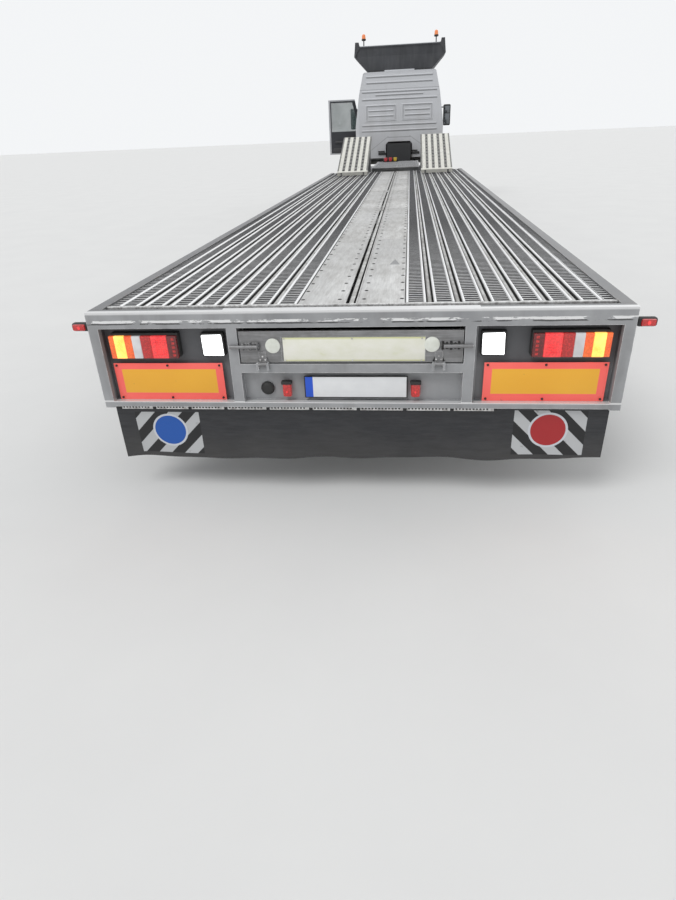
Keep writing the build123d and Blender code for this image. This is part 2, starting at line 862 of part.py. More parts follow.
for post_y in (guard_rear + 150, guard_middle, guard_front - 150 - guard_post_width):
    guard += block(guard_inner - guard_thickness, guard_inner, post_y, post_y + guard_post_width,
                   guard_rail_levels[0], side_rail_bottom)
node("side_guards", both(guard))

# Wheel ramps: trays on hinge pins at the foot, resting on a trestle near the front
ramp_turn = Pos(0, ramp_axis_y, ramp_axis_z) * Rot(ramp_slope, 0, 0)


def ramp(side):
    inner = -ramp_width / 2
    outer = ramp_width / 2
    half = ramp_thickness / 2
    tray = block(inner, outer, -half, ramp_length - half, -half, half)
    tray -= block(inner + ramp_sheet, outer - ramp_sheet, half, ramp_length - half - ramp_sheet,
                  -half - 1, half - ramp_sheet)
    for end in (-1, 1):
        pocket_end = end * (ramp_width / 2 - 60)
        pocket_start = pocket_end - end * (ramp_lug_width + 2 * ramp_lug_gap)
        tray -= block(pocket_start, pocket_end, -half - 1, half, -half - 1, half - ramp_sheet)
    tray -= rod_x(inner - 1, outer + 1, 0, 0, ramp_pin_radius + hatch_pin_clearance)
    return Pos(side * ramp_centre_x, 0, 0) * ramp_turn * tray


trestle_rise = (trestle_y - ramp_axis_y) * tan(radians(ramp_slope))
trestle_corner = ramp_thickness / 2 / cos(radians(ramp_slope))
trestle_top = ramp_axis_z + trestle_rise - trestle_corner - trestle_gap
trestles = []
hinges = []
for side_name, side in sides:
    node(f"ramp_{side_name}", ramp(side))
    inner = side * ramp_centre_x - ramp_width / 2
    outer = side * ramp_centre_x + ramp_width / 2
    trestle = block(inner, outer, trestle_y, trestle_y + trestle_tube, trestle_top - trestle_tube,
                    trestle_top)
    for post_x in (inner, outer - trestle_tube):
        trestle += block(post_x, post_x + trestle_tube, trestle_y, trestle_y + trestle_tube, deck_height,
                         trestle_top - trestle_tube)
    trestles.append(trestle)
    hinge = rod_x(inner - 20, outer + 20, ramp_axis_y, ramp_axis_z, ramp_pin_radius)
    for end in (-1, 1):
        lug_outer = side * ramp_centre_x + end * (ramp_width / 2 - 60 - ramp_lug_gap)
        hinge += block(lug_outer - end * ramp_lug_width, lug_outer, ramp_axis_y - ramp_pin_radius,
                       ramp_axis_y + ramp_pin_radius, deck_height, ramp_axis_z)
    hinges.append(hinge)
node("ramp_stands", trestles, hinges)

# Tractor chassis: two channels facing in, cross members and the ears of the cab tilt
def chassis_rail(side):
    web_x = rail_outer - rail_wall
    toe_x = rail_outer - rail_width
    outline = [
        (rail_outer, rail_bottom), (rail_outer, rail_top), (toe_x, rail_top),
        (toe_x, rail_top - rail_wall), (web_x, rail_top - rail_wall), (web_x, rail_bottom + rail_wall),
        (toe_x, rail_bottom + rail_wall), (toe_x, rail_bottom),
    ]
    rail = prism_y(outline, rail_rear, rail_front)
    return rail if side > 0 else mirrored(rail)


tractor = chassis_rail(-1) + chassis_rail(1)
cross_x = rail_outer - rail_wall
cross_z = rail_bottom + rail_wall
for cross_y in rail_cross_y:
    tractor += block(-cross_x, cross_x, cross_y, cross_y + rail_cross_depth, cross_z,
                     cross_z + rail_cross_height)
ear_base = rail_front - 60
for side in (-1, 1):
    for end in (-1, 1):
        ear_inner = side * tilt_lug_x + end * (tilt_lug_width / 2 + tilt_ear_gap)
        ear_outer = ear_inner + end * tilt_ear_width
        ear_outline = [
            (ear_base, rail_top - 200), (rail_front, rail_top - 200),
            (cab_tilt_y + tilt_pin_radius, cab_tilt_z - tilt_pin_radius),
            (cab_tilt_y, cab_tilt_z + tilt_pin_radius), (cab_tilt_y - tilt_pin_radius, cab_tilt_z),
            (ear_base, rail_top),
        ]
        tractor += prism_x(ear_outline, ear_inner, ear_outer)
    tie_inner = side * tilt_lug_x - tilt_lug_width / 2 - tilt_ear_gap - tilt_ear_width
    tie_outer = side * tilt_lug_x + tilt_lug_width / 2 + tilt_ear_gap + tilt_ear_width
    tractor += block(tie_inner, tie_outer, ear_base, rail_front, rail_top - 200, rail_top - 150)
    tractor += rod_x(tie_inner, tie_outer, cab_tilt_y, cab_tilt_z, tilt_pin_radius)
node("tractor_chassis", tractor)

# Coupling plate with its slot for the king pin, on two pedestals
coupling_top = neck_bottom - coupling_gap
coupling_bottom = coupling_top - coupling_thickness
coupling_corner = 160
coupling_outline = [
    (-coupling_half_width, -60), (-coupling_half_width + coupling_corner, coupling_front),
    (coupling_half_width - coupling_corner, coupling_front), (coupling_half_width, -60),
    (coupling_half_width - coupling_corner, -coupling_rear), (130, -coupling_rear),
    (coupling_slot + 8, -60), (-coupling_slot - 8, -60), (-130, -coupling_rear),
    (-coupling_half_width + coupling_corner, -coupling_rear),
]
coupling_plane = Plane(origin=(0, king_pin_y, coupling_bottom))
coupling = extrude(coupling_plane * Polygon(*coupling_outline, align=None), coupling_thickness, dir=(0, 0, 1))
coupling -= rod_z(0, king_pin_y, coupling_bottom - 1, coupling_top + 1, coupling_slot + 8)
coupling -= block(-coupling_slot - 8, coupling_slot + 8, king_pin_y - 80, king_pin_y, coupling_bottom - 1,
                  coupling_top + 1)
for side in (-1, 1):
    coupling += block(side * (rail_outer - rail_width), side * (rail_outer - rail_width + pedestal_width),
                      king_pin_y - pedestal_length / 2, king_pin_y + pedestal_length / 2, rail_top,
                      coupling_bottom)
node("coupling_plate", coupling)

# Axles of the tractor, and the leaf springs that carry them
wheel_z = tyre_radius
twin_inner_x = drive_tyre_outer - drive_tyre_width / 2 - twin_spacing
twin_outer_x = drive_tyre_outer - drive_tyre_width / 2
drive_axle_end = twin_inner_x - drive_tyre_width / 2 - 15
drive_axle = rod_x(-drive_axle_end, drive_axle_end, drive_axle_y, wheel_z, drive_tube_radius)
differential = Plane.XY * Polygon((-differential_half, 0), (-differential_half / 2, differential_radius),
                                  (differential_half / 2, differential_radius), (differential_half, 0),
                                  align=None)
drive_axle += Pos(0, drive_axle_y, wheel_z) * revolve(differential, axis=Axis.X)
beam_drop_x = 520
steer_z = wheel_z
half_beam = steer_beam_height / 2
low_z = steer_z - steer_beam_drop
steer_outline = [
    (-steer_pivot_x, steer_z - half_beam), (-beam_drop_x, low_z - half_beam),
    (beam_drop_x, low_z - half_beam), (steer_pivot_x, steer_z - half_beam),
    (steer_pivot_x, steer_z + half_beam), (beam_drop_x, low_z + half_beam),
    (-beam_drop_x, low_z + half_beam), (-steer_pivot_x, steer_z + half_beam),
]
steer_beam = prism_y(steer_outline, steer_axle_y - steer_beam_depth / 2 + 20,
                     steer_axle_y + steer_beam_depth / 2 - 20)
boss_half = steer_boss_height / 2
knuckle_half = boss_half + knuckle_gap + knuckle_ear
pivot_pin = steer_boss_radius / 2
for side in (-1, 1):
    steer_beam += rod_z(side * steer_pivot_x, steer_axle_y, steer_z - boss_half, steer_z + boss_half,
                        steer_boss_radius)
    steer_beam += rod_z(side * steer_pivot_x, steer_axle_y, steer_z - knuckle_half,
                        steer_z + knuckle_half, pivot_pin)
tractor_axles = drive_axle + steer_beam
for axle_y, seat_z in ((drive_axle_y, wheel_z), (steer_axle_y, low_z)):
    seat_block = block(spring_x - spring_width / 2, spring_x + spring_width / 2, axle_y - 70, axle_y + 70,
                       seat_z, rail_bottom - spring_pack)
    leaves = block(spring_x - spring_width / 2, spring_x + spring_width / 2, axle_y - spring_half_length,
                   axle_y + spring_half_length, rail_bottom - spring_pack, rail_bottom - spring_pack / 2)
    pack = seat_block + leaves
    for end in (-1, 1):
        eye = axle_y + end * (spring_half_length - spring_shackle / 2)
        pack += block(spring_x - spring_width / 2, spring_x + spring_width / 2, eye - spring_shackle / 2,
                      eye + spring_shackle / 2, rail_bottom - spring_pack / 2, rail_bottom)
    tractor_axles += pack + mirrored(pack)
node("tractor_axles", tractor_axles)

# Steering knuckles: a fork about the pivot boss, with the spindle for the wheel
spindle_end = steer_wheel_x - 40
for side_name, side in sides:
    pivot = side * steer_pivot_x
    fork_out = side * (steer_pivot_x + steer_boss_radius + 12)
    knuckle = block(side * (steer_pivot_x - 40), fork_out, steer_axle_y - knuckle_depth / 2,
                    steer_axle_y + knuckle_depth / 2, steer_z - knuckle_half, steer_z + knuckle_half)
    knuckle -= rod_z(pivot, steer_axle_y, steer_z - boss_half - knuckle_gap,
                     steer_z + boss_half + knuckle_gap, steer_boss_radius + 3)
    knuckle -= block(side * (steer_pivot_x - 41), pivot, steer_axle_y - knuckle_depth / 2 - 1,
                     steer_axle_y + knuckle_depth / 2 + 1, steer_z - boss_half - knuckle_gap,
                     steer_z + boss_half + knuckle_gap)
    knuckle -= rod_z(pivot, steer_axle_y, steer_z - knuckle_half - 1, steer_z + knuckle_half + 1,
                     pivot_pin + hatch_pin_clearance)
    knuckle += rod_x(fork_out, side * spindle_end, steer_axle_y, steer_z, spindle_radius)
    node(f"knuckle_{side_name}", knuckle)
    place = Pos(side * steer_wheel_x, steer_axle_y, wheel_z)
    node(f"steer_tyre_{side_name}", place * tyre(tyre_radius, rim_radius, steer_tyre_width))
    node(f"steer_rim_{side_name}", place * rim(rim_radius, steer_tyre_width, 24,
                                               spindle_end + 0.5 - steer_wheel_x, 120, side))
    outer_place = Pos(side * twin_outer_x, drive_axle_y, wheel_z)
    inner_place = Pos(side * twin_inner_x, drive_axle_y, wheel_z)
    node(f"drive_tyres_{side_name}", outer_place * tyre(tyre_radius, rim_radius, drive_tyre_width),
         inner_place * tyre(tyre_radius, rim_radius, drive_tyre_width))
    hub_from = drive_axle_end + 0.5 - twin_inner_x
    inner_rim = inner_place * rim(rim_radius, drive_tyre_width, 60, hub_from, 130, side)
    outer_rim = outer_place * rim(rim_radius, drive_tyre_width, -74, -twin_spacing + 60, 130, side)
    node(f"drive_rims_{side_name}", inner_rim + outer_rim)

# Fuel tank, battery box, air tanks and silencer, each on brackets of the chassis rails
tank_top = tank_bottom + tank_height
tank = block(-tank_outer, -tank_inner, tank_rear, tank_rear + tank_length, tank_bottom, tank_top)
tank = fillet(tank.edges().filter_by(Axis.Y), tank_round)
for bracket_y in (tank_rear + 200, tank_rear + tank_length - 260):
    tank += block(-tank_inner - 20, -rail_outer, bracket_y, bracket_y + 60, rail_bottom,
                  rail_bottom + bracket_height)
node("fuel_tank", tank)
battery = block(tank_inner, tank_outer - 60, battery_rear, battery_rear + battery_length, tank_bottom + 60,
                tank_top - 60)
battery += block(rail_outer, tank_inner, battery_rear + 60, battery_rear + battery_length - 60, rail_bottom,
                 rail_bottom + bracket_height)
air_tanks = []
for air_x in (tank_inner + air_tank_radius + 10, tank_inner + 3 * air_tank_radius + 30):
    air_tanks.append(rod_y(air_x, air_tank_rear, air_tank_rear + air_tank_length, rail_bottom + 60,
                           air_tank_radius))
air_strap = block(rail_outer, tank_inner + 4 * air_tank_radius + 40, air_tank_rear + air_strap_back,
                  air_tank_rear + air_strap_back + air_strap_width, rail_bottom + 60 + air_tank_radius,
                  rail_bottom + 90 + air_tank_radius)
silencer = block(tank_inner, tank_outer - 80, silencer_rear, silencer_rear + silencer_length, tank_bottom,
                 tank_top - 40)
silencer = fillet(silencer.edges().filter_by(Axis.Y), 60)
silencer += block(rail_outer, tank_inner + 20, silencer_rear + 140, silencer_rear + 240, rail_bottom,
                  rail_bottom + bracket_height)
node("chassis_boxes", battery, air_tanks[0] + air_tanks[1] + air_strap, silencer)


# Mudguards: curved sheets before and behind the driven wheels, and arches over the steered ones
def arc_guard(centre_y, centre_z, radius, sheet, x0, x1, low, high):
    """A curved sheet about the wheel, from the low to the high angle above the front."""
    wide = rod_x(x0, x1, centre_y, centre_z, radius + sheet) - rod_x(x0 - 1, x1 + 1, centre_y, centre_z,
                                                                  radius)
    reach = 3 * radius
    wedge = [(centre_y, centre_z)]
    for angle in (low, (low + high) / 2, high):
        wedge.append((centre_y + reach * cos(radians(angle)), centre_z + reach * sin(radians(angle))))
    return wide & prism_x(wedge, x0, x1)


drive_guards = []
for low, high in ((drive_guard_low, drive_guard_high), (180 - drive_guard_high, 180 - drive_guard_low)):
    sheet = arc_guard(drive_axle_y, wheel_z, drive_guard_radius, drive_guard_sheet, drive_guard_inner,
                      drive_tyre_outer, low, high)
    middle = radians((low + high) / 2)
    bar_y = drive_axle_y + (drive_guard_radius + drive_guard_sheet / 2) * cos(middle)
    bar_z = wheel_z + (drive_guard_radius + drive_guard_sheet / 2) * sin(middle)
    sheet += rod_x(rail_outer, drive_tyre_outer - 100, bar_y, bar_z + drive_guard_bar / 2,
                   drive_guard_bar / 2 + 4)
    sheet -= rod_x(rail_outer, drive_tyre_outer, drive_axle_y, wheel_z, drive_guard_radius)
    drive_guards.extend(both(sheet))
steer_guard = arc_guard(steer_axle_y, wheel_z, steer_guard_radius, steer_guard_sheet,
                        steer_wheel_x - steer_tyre_width / 2, steer_wheel_x + steer_tyre_width / 2,
                        steer_guard_low, 180 - steer_guard_low)
arch_top = wheel_z + steer_guard_radius
arch_bar = [
    (rail_outer - 40, rail_top), (rail_outer, rail_top), (rail_outer, arch_top - 20),
    (steer_wheel_x - steer_tyre_width / 2 + 20, arch_top - 20),
    (steer_wheel_x - steer_tyre_width / 2 + 20, arch_top), (rail_outer - 40, arch_top),
]
steer_guard += prism_y(arch_bar, steer_axle_y - steer_guard_bar, steer_axle_y + steer_guard_bar)
node("tractor_mudguards", drive_guards, both(steer_guard))

# Engine as one block with the intake box on it, on feet between the rails
engine = block(-engine_half_width, engine_half_width, engine_rear, engine_front, engine_bottom + 130,
               engine_top)
engine += block(-air_box_half_width, air_box_half_width, engine_rear, air_box_front, engine_top, air_box_top)
for side in (-1, 1):
    for foot_y in (engine_rear + engine_foot_ahead, engine_front - engine_foot_back):
        engine += block(side * (engine_half_width - 20), side * (rail_outer - rail_width),
                        foot_y, foot_y + engine_foot, rail_top - 40, rail_top)
engine -= block(-engine_half_width - 1, engine_half_width + 1, rail_cross_y[3] - 5,
                rail_cross_y[3] + rail_cross_depth + 5, 0, cross_z + rail_cross_height + 5)
node("engine", engine)

# Bumper with its wrapped ends, head lamps and the entry steps
bumper = block(-bumper_half_width, bumper_half_width, bumper_rear, bumper_front, bumper_bottom, bumper_top)
front_edges = bumper.edges().filter_by(Axis.Z).sort_by(Axis.Y)[-2:]
bumper = fillet(front_edges, bumper_round)
bumper -= block(-bumper_half_width + bumper_wall, bumper_half_width - bumper_wall, bumper_rear - 1,
                bumper_front - 2 * bumper_wall, bumper_bottom + bumper_wall, bumper_top - bumper_wall)
for side in (-1, 1):
    bumper += block(side * (rail_outer - 50), side * (rail_outer - 10), rail_front,
                    bumper_front - 2 * bumper_wall, rail_bottom, rail_bottom + 38)
    bumper -= block(side * headlamp_inner, side * (headlamp_inner + headlamp_width),
                    bumper_front - headlamp_depth, bumper_front + 1, headlamp_bottom,
                    headlamp_bottom + headlamp_height)
tow_eye_radius = 30
tow_eye_x = 430 - 130
tow_eye_z = 460
for side in (-1, 1):
    ear_notch = tilt_lug_width / 2 + tilt_ear_gap + tilt_ear_width + tilt_ear_gap
    bumper -= block(side * tilt_lug_x - ear_notch, side * tilt_lug_x + ear_notch, bumper_rear - 1,
                    cab_tilt_y + tilt_boss_radius, bumper_top - bumper_wall - 1, bumper_top + 1)
bumper -= rod_y(tow_eye_x, bumper_front - 2 * bumper_wall - 1, bumper_front + 1, tow_eye_z, tow_eye_radius)
lamp = block(headlamp_inner + 2, headlamp_inner + headlamp_width - 2, bumper_front - headlamp_depth,
             bumper_front - 8, headlamp_bottom + 2, headlamp_bottom + headlamp_height - 2)
node("head_lamps", both(lamp))
steps = None
for level in step_levels:
    tread = block(step_inner, step_outer, step_rear, step_front, level, level + step_thickness)
    steps = tread if steps is None else steps + tread
step_top = step_levels[1] + 180
steps += block(step_inner - step_wall, step_inner, step_rear, step_front, step_levels[0], step_top)
steps += block(step_inner - step_wall, step_inner, step_front, bumper_rear, step_levels[0],
               step_levels[1])
node("bumper", bumper + steps + mirrored(steps))


# Cab: outer form as three outlines crossed, drawn in by an inset for the inner form
def cab_form(inset, bottom):
    rear_view = [
        (cab_half_low, bottom), (cab_half_belt, cab_belt), (cab_half_shoulder, cab_shoulder),
        (cab_half_roof, cab_roof_edge), (cab_half_top, cab_top),
    ]
    right = [(x - inset, z if z < cab_roof_edge else z - inset) for x, z in rear_view]
    left = [(-x, z) for x, z in reversed(right)]
    side_view = [
        (cab_rear + inset, bottom), (cab_front - cab_nose_back - inset, bottom),
        (cab_front - inset, cab_nose), (cab_front - cab_belt_back - inset, cab_screen_foot),
        (cab_front - cab_brow_back - inset, cab_brow), (cab_front - cab_roof_back - inset, cab_top - inset),
        (cab_rear + cab_tail_slope + inset, cab_top - cab_tail_drop - inset),
        (cab_rear + inset, cab_top - cab_tail_edge - inset),
    ]
    form = prism_y(right + left, cab_rear - cab_corner, past_cab)
    form = form & prism_x(side_view, -half_width, half_width)
    plan = RectangleRounded(2 * (cab_half_belt + cab_plan_margin - inset),
                            cab_length + cab_plan_margin - 2 * inset, cab_corner)
    plan_centre = cab_rear + (cab_length + cab_plan_margin) / 2
    return form & extrude(Pos(0, plan_centre, bottom - 1) * plan, over_cab - bottom)


outer_form = cab_form(0, cab_front_bottom)
inner_form = cab_form(cab_wall, cab_front_bottom - 50)
shell = outer_form - inner_form
shell -= block(-half_width, half_width, cab_rear - cab_wall, step_rear, 0, cab_floor_bottom)
screen_outline = [
    (-screen_half_bottom, screen_bottom), (screen_half_bottom, screen_bottom),
    (screen_half_top, screen_top), (-screen_half_top, screen_top),
]
screen_rear = door_hinge_y + glass_inset
shell -= prism_y(screen_outline, screen_rear, past_cab)
tunnel_mouth = [
    (-tunnel_half_width, 0), (tunnel_half_width, 0), (tunnel_half_width, tunnel_top - 60),
    (tunnel_half_width - 60, tunnel_top), (-tunnel_half_width + 60, tunnel_top),
    (-tunnel_half_width, tunnel_top - 60),
]
shell -= prism_y(tunnel_mouth, cab_rear - 10, cab_rear + cab_wall + 5)


def door_outline(inset):
    """The door's outline in (y, z), drawn in by an inset."""
    return [
        (door_rear + inset, door_bottom + inset), (door_hinge_y - inset, door_bottom + inset),
        (door_hinge_y - inset, door_belt + door_slope_start), (door_top_front - inset, door_top - inset),
        (door_rear + inset, door_top - inset),
    ]


window_outline = [
    (door_rear + door_frame, door_belt), (door_hinge_y - door_frame, door_belt),
    (door_hinge_y - door_frame, door_belt + door_slope_start),
    (door_top_front - door_frame, door_top - door_frame), (door_rear + door_frame, door_top - door_frame),
]
pane_form = cab_form(glass_inset, cab_front_bottom) - cab_form(glass_inset + glass_thickness,
                                                              cab_front_bottom - 50)
hinge_x = cab_half_belt + door_axis_out
hinge_barrels = []
hinge_lugs = []
for level in door_hinge_levels:
    low = level - door_hinge_half
    high = level + door_hinge_half
    barrel = rod_z(hinge_x, door_hinge_y, low, high, door_hinge_radius)
    barrel += block(hinge_x - door_hinge_depth, hinge_x, door_hinge_y - door_hinge_strap,
                    door_hinge_y - door_hinge_pin, low, high)
    hinge_barrels.append(barrel - rod_z(hinge_x, door_hinge_y, low - 1, high + 1,
                                        door_hinge_pin + tilt_pin_clearance))
    lugs = rod_z(hinge_x, door_hinge_y, low - door_hinge_lug, high + door_hinge_lug, door_hinge_radius)
    lugs += block(hinge_x - door_hinge_depth, hinge_x + door_hinge_radius, door_hinge_y,
                  door_hinge_y + door_hinge_strap, low - door_hinge_lug, high + door_hinge_lug)
    lugs -= block(hinge_x - door_hinge_depth - 1, hinge_x + 2 * door_hinge_radius,
                  door_hinge_y - 2 * door_hinge_radius, door_hinge_y + door_hinge_strap - door_hinge_radius,
                  low - 2, high + 2)
    hinge_lugs.append(lugs + rod_z(hinge_x, door_hinge_y, low - door_hinge_pin, high + door_hinge_pin,
                                   door_hinge_pin))
for side_name, side in sides:
    cut = prism_x(door_outline(0), side * door_inner_x, side * half_width)
    leaf = shell & prism_x(door_outline(door_gap), side * door_inner_x, side * half_width)
    leaf -= prism_x(window_outline, side * door_inner_x, side * half_width)
    pane = pane_form & prism_x(window_outline, side * door_inner_x, side * half_width)
    shell -= cut
    for barrel in hinge_barrels:
        leaf += barrel if side > 0 else mirrored(barrel)
    if side_name == "left":
        swing = Pos(side * hinge_x, door_hinge_y, 0) * Rot(0, 0, -door_open)
        swing *= Pos(-side * hinge_x, -door_hinge_y, 0)
        leaf = swing * leaf
        pane = swing * pane
    node(f"door_{side_name}", leaf)
    node(f"door_glass_{side_name}", pane)


# Rear wall with its pressed ribs, two framed fields and the arch over the tunnel; sides; windscreen
def rear_rib(x0, x1, level):
    """A level rib of the rear wall, from x0 to x1, about its middle line."""
    return block(x0, x1, cab_rear - rib_depth, cab_rear + rib_depth, level - rib_width / 2,
                 level + rib_width / 2)


rear_cut = cab_rear + rear_post
front_cut = door_hinge_y
rear_part = shell & block(-half_width, half_width, cab_rear - cab_wall, rear_cut, 0, over_cab)
rest = shell & block(-half_width, half_width, rear_cut, past_cab, 0, over_cab)
roof_part = rest & block(-half_width, half_width, rear_cut, past_cab, roof_split, over_cab)
low_part = rest & block(-half_width, half_width, rear_cut, past_cab, 0, roof_split)
front_part = low_part & block(-half_width, half_width, front_cut, past_cab, 0, roof_split)
side_part = low_part & block(-half_width, half_width, rear_cut, front_cut, 0, roof_split)
for lugs in hinge_lugs:
    front_part += lugs + mirrored(lugs)
for rib_level, rib_half in rear_ribs:
    rear_part += rear_rib(-rib_half, rib_half, rib_level)
for side in (-1, 1):
    emboss = block(side * emboss_inner, side * emboss_outer, cab_rear - rib_depth, cab_rear + rib_depth,
                   emboss_bottom, emboss_top)
    emboss -= block(side * (emboss_inner + rib_width), side * (emboss_outer - rib_width),
                    cab_rear - 2 * rib_depth, cab_rear + 2 * rib_depth, emboss_bottom + rib_width,
                    emboss_top - rib_width)
    rear_part += emboss
    for share in (1 / 3, 2 / 3):
        rib_level = emboss_bottom + (emboss_top - emboss_bottom) * share
        rear_part += rear_rib(side * (emboss_inner + emboss_margin), side * (emboss_outer - emboss_margin),
                              rib_level)
rear_part += prism_y([
    (-arch_half_foot, arch_foot), (-arch_half_top, arch_top), (arch_half_top, arch_top),
    (arch_half_foot, arch_foot), (arch_half_foot - rib_width, arch_foot),
    (arch_half_top - rib_width / 2, arch_top - rib_width),
    (-arch_half_top + rib_width / 2, arch_top - rib_width), (-arch_half_foot + rib_width, arch_foot),
], cab_rear - rib_depth, cab_rear + rib_depth)
node("cab_rear_wall", rear_part)
node("cab_sides", side_part)
screen_pane = pane_form & prism_y(screen_outline, screen_rear, past_cab)
node("windscreen", screen_pane)

# Floor with the engine tunnel and the lugs on the tilt pins
floor_top = cab_floor_bottom + cab_floor_thickness
floor = inner_form & block(-half_width, half_width, cab_rear, past_cab, cab_floor_bottom, floor_top)
tunnel_body = prism_y([
    (-tunnel_half_width - tunnel_sheet, cab_floor_bottom), (tunnel_half_width + tunnel_sheet,
                                                            cab_floor_bottom),
    (tunnel_half_width + tunnel_sheet, tunnel_top - 60), (tunnel_half_width - 60, tunnel_top + tunnel_sheet),
    (-tunnel_half_width + 60, tunnel_top + tunnel_sheet), (-tunnel_half_width - tunnel_sheet,
                                                          tunnel_top - 60),
], cab_rear + cab_wall, tunnel_front + tunnel_sheet)
tunnel_void = prism_y(tunnel_mouth, cab_rear, tunnel_front)
floor = floor + tunnel_body - tunnel_void
for side in (-1, 1):
    lug_centre = side * tilt_lug_x
    lug_outline = [
        (cab_tilt_y - tilt_boss_radius, cab_tilt_z), (cab_tilt_y - 12, cab_tilt_z),
        (cab_tilt_y - 12, cab_floor_bottom), (cab_tilt_y - 160, cab_floor_bottom),
    ]
    lug = prism_x(lug_outline, lug_centre - tilt_lug_width / 2, lug_centre + tilt_lug_width / 2)
    lug += rod_x(lug_centre - tilt_lug_width / 2, lug_centre + tilt_lug_width / 2, cab_tilt_y, cab_tilt_z,
                 tilt_boss_radius)
    lug -= rod_x(lug_centre - tilt_lug_width, lug_centre + tilt_lug_width, cab_tilt_y, cab_tilt_z,
                 tilt_pin_radius + tilt_pin_clearance)
    floor += lug
node("cab_floor", floor)

# Inside the cab: two seats, the bunk, the dashboard and the steering wheel
seats = []
for side in (-1, 1):
    left = side * seat_x - seat_width / 2
    right = side * seat_x + seat_width / 2
    seat = block(left, right, seat_front - seat_depth, seat_front, floor_top, floor_top + seat_height)
    back_rear = seat_front - seat_depth - seat_back_depth
    seat += block(left + 20, right - 20, back_rear, seat_front - seat_depth, floor_top + 300,
                  floor_top + seat_height + seat_back_height)
    seats.append(seat)
bunk_rear = cab_rear + rear_post
bunk = block(-bunk_half_width, bunk_half_width, bunk_rear, bunk_front, bunk_bottom,
             bunk_bottom + bunk_thickness)
for side in (-1, 1):
    bunk += block(side * (bunk_half_width - bunk_leg), side * bunk_half_width, bunk_rear + 40,
                  bunk_front - 40, floor_top, bunk_bottom)
node("seats_and_bunk", seats, bunk)
dash_front = dash_rear + dash_depth
dash_low = dash_bottom - dash_belly
dash_outline = [
    (dash_rear, dash_bottom), (dash_rear + 60, dash_low), (dash_front, dash_low),
    (dash_front, dash_top - 40), (dash_rear + 90, dash_top), (dash_rear, dash_top - 60),
]
dash = prism_x(dash_outline, -bunk_half_width, bunk_half_width)
dash += block(-tunnel_half_width + 30, tunnel_half_width - 30, tunnel_front + tunnel_sheet + 40,
              dash_front - 40, floor_top, dash_low + 20)
wheel_place = Pos(steering_wheel_x, steering_wheel_y, steering_wheel_z) * Rot(-35, 0, 0)
steering_wheel = Torus(steering_wheel_radius, steering_wheel_rim) + Cylinder(60, 30)
for spoke_turn in (0, 180, 270):
    spoke = block(0, steering_wheel_radius, -18, 18, -8, 8)
    steering_wheel += Rot(0, 0, spoke_turn) * spoke
column_length = 150
steering_wheel += Pos(0, 0, -column_length / 2) * Cylinder(steering_column_radius, column_length)
node("dashboard", dash + wheel_place * steering_wheel)

# Mirrors on arms of the front pillars
mirror_top = mirror_bottom + mirror_height
mirror_outer = mirror_inner + mirror_width
mirror_front = mirror_rear + mirror_depth
housing = block(mirror_inner, mirror_outer, mirror_rear, mirror_front, mirror_bottom, mirror_top)
housing = fillet(housing.edges().filter_by(Axis.Y), 35)
arm_y = mirror_rear + mirror_depth / 2
for arm_z in (mirror_bottom + 60, mirror_top - 60):
    housing += rod_x(cab_half_shoulder, mirror_inner + 20, arm_y, arm_z, mirror_arm_radius)
housing -= outer_form
node("mirrors", both(housing))

# Roof deflector: a moulded wedge with a closed back and raised fins, on struts from the roof
def deflector_back(inset, foot, top):
    """The outline from behind, drawn in by an inset, with a fin at each side where the top reaches it."""
    right = [(deflector_half_foot - inset, foot), (deflector_half_waist - inset, deflector_waist)]
    if top > deflector_top:
        right += [(fin_outer, fin_top), (fin_outer - fin_width, fin_top)]
        right.append((fin_outer - fin_width - deflector_crease, deflector_top))
    else:
        right += [(fin_outer - inset, (deflector_waist + top) / 2), (fin_outer - fin_width - inset, top)]
    return right + [(-x, z) for x, z in reversed(right)]


def deflector_side(inset, foot):
    """The wedge seen from the side, drawn in by an inset from its back, its slope and its nose."""
    slope = (fin_top - deflector_nose) / (deflector_length - fin_length)
    nose_top = deflector_nose + slope * 2 * inset - inset
    return [
        (deflector_rear + inset, foot), (deflector_rear + inset, fin_top - inset),
        (deflector_rear + fin_length, fin_top - inset), (deflector_front - 2 * inset, nose_top),
        (deflector_front - 2 * inset, foot),
    ]


deflector = prism_y(deflector_back(0, deflector_foot, fin_top), deflector_rear, deflector_front)
deflector = deflector & prism_x(deflector_side(0, deflector_foot), -half_width, half_width)
void_foot = deflector_foot - 1
void_top = deflector_top - deflector_sheet
void = prism_y(deflector_back(deflector_sheet, void_foot, void_top), deflector_rear, deflector_front)
void = void & prism_x(deflector_side(deflector_sheet + deflector_recess, void_foot), -half_width, half_width)
recess_foot = deflector_foot + deflector_sheet
recess = prism_y(deflector_back(deflector_sheet, recess_foot, void_top), deflector_rear - 1, deflector_front)
recess = recess & prism_x([
    (deflector_rear - 1, recess_foot), (deflector_rear + 1, recess_foot),
    (deflector_rear + deflector_recess + deflector_crease, deflector_waist),
    (deflector_rear + deflector_recess, deflector_top), (deflector_rear - 1, deflector_top),
], -half_width, half_width)
deflector -= void
deflector -= recess
deflector -= outer_form
for side in (-1, 1):
    for strut_y in (strut_rear, strut_front):
        column = block(side * strut_x, side * (strut_x + strut_size), strut_y, strut_y + strut_size, cab_brow,
                       deflector_top)
        column = column & prism_x(deflector_side(deflector_sheet / 2, cab_brow), -half_width, half_width)
        deflector += column - outer_form
node("deflector", deflector)
beacons = []
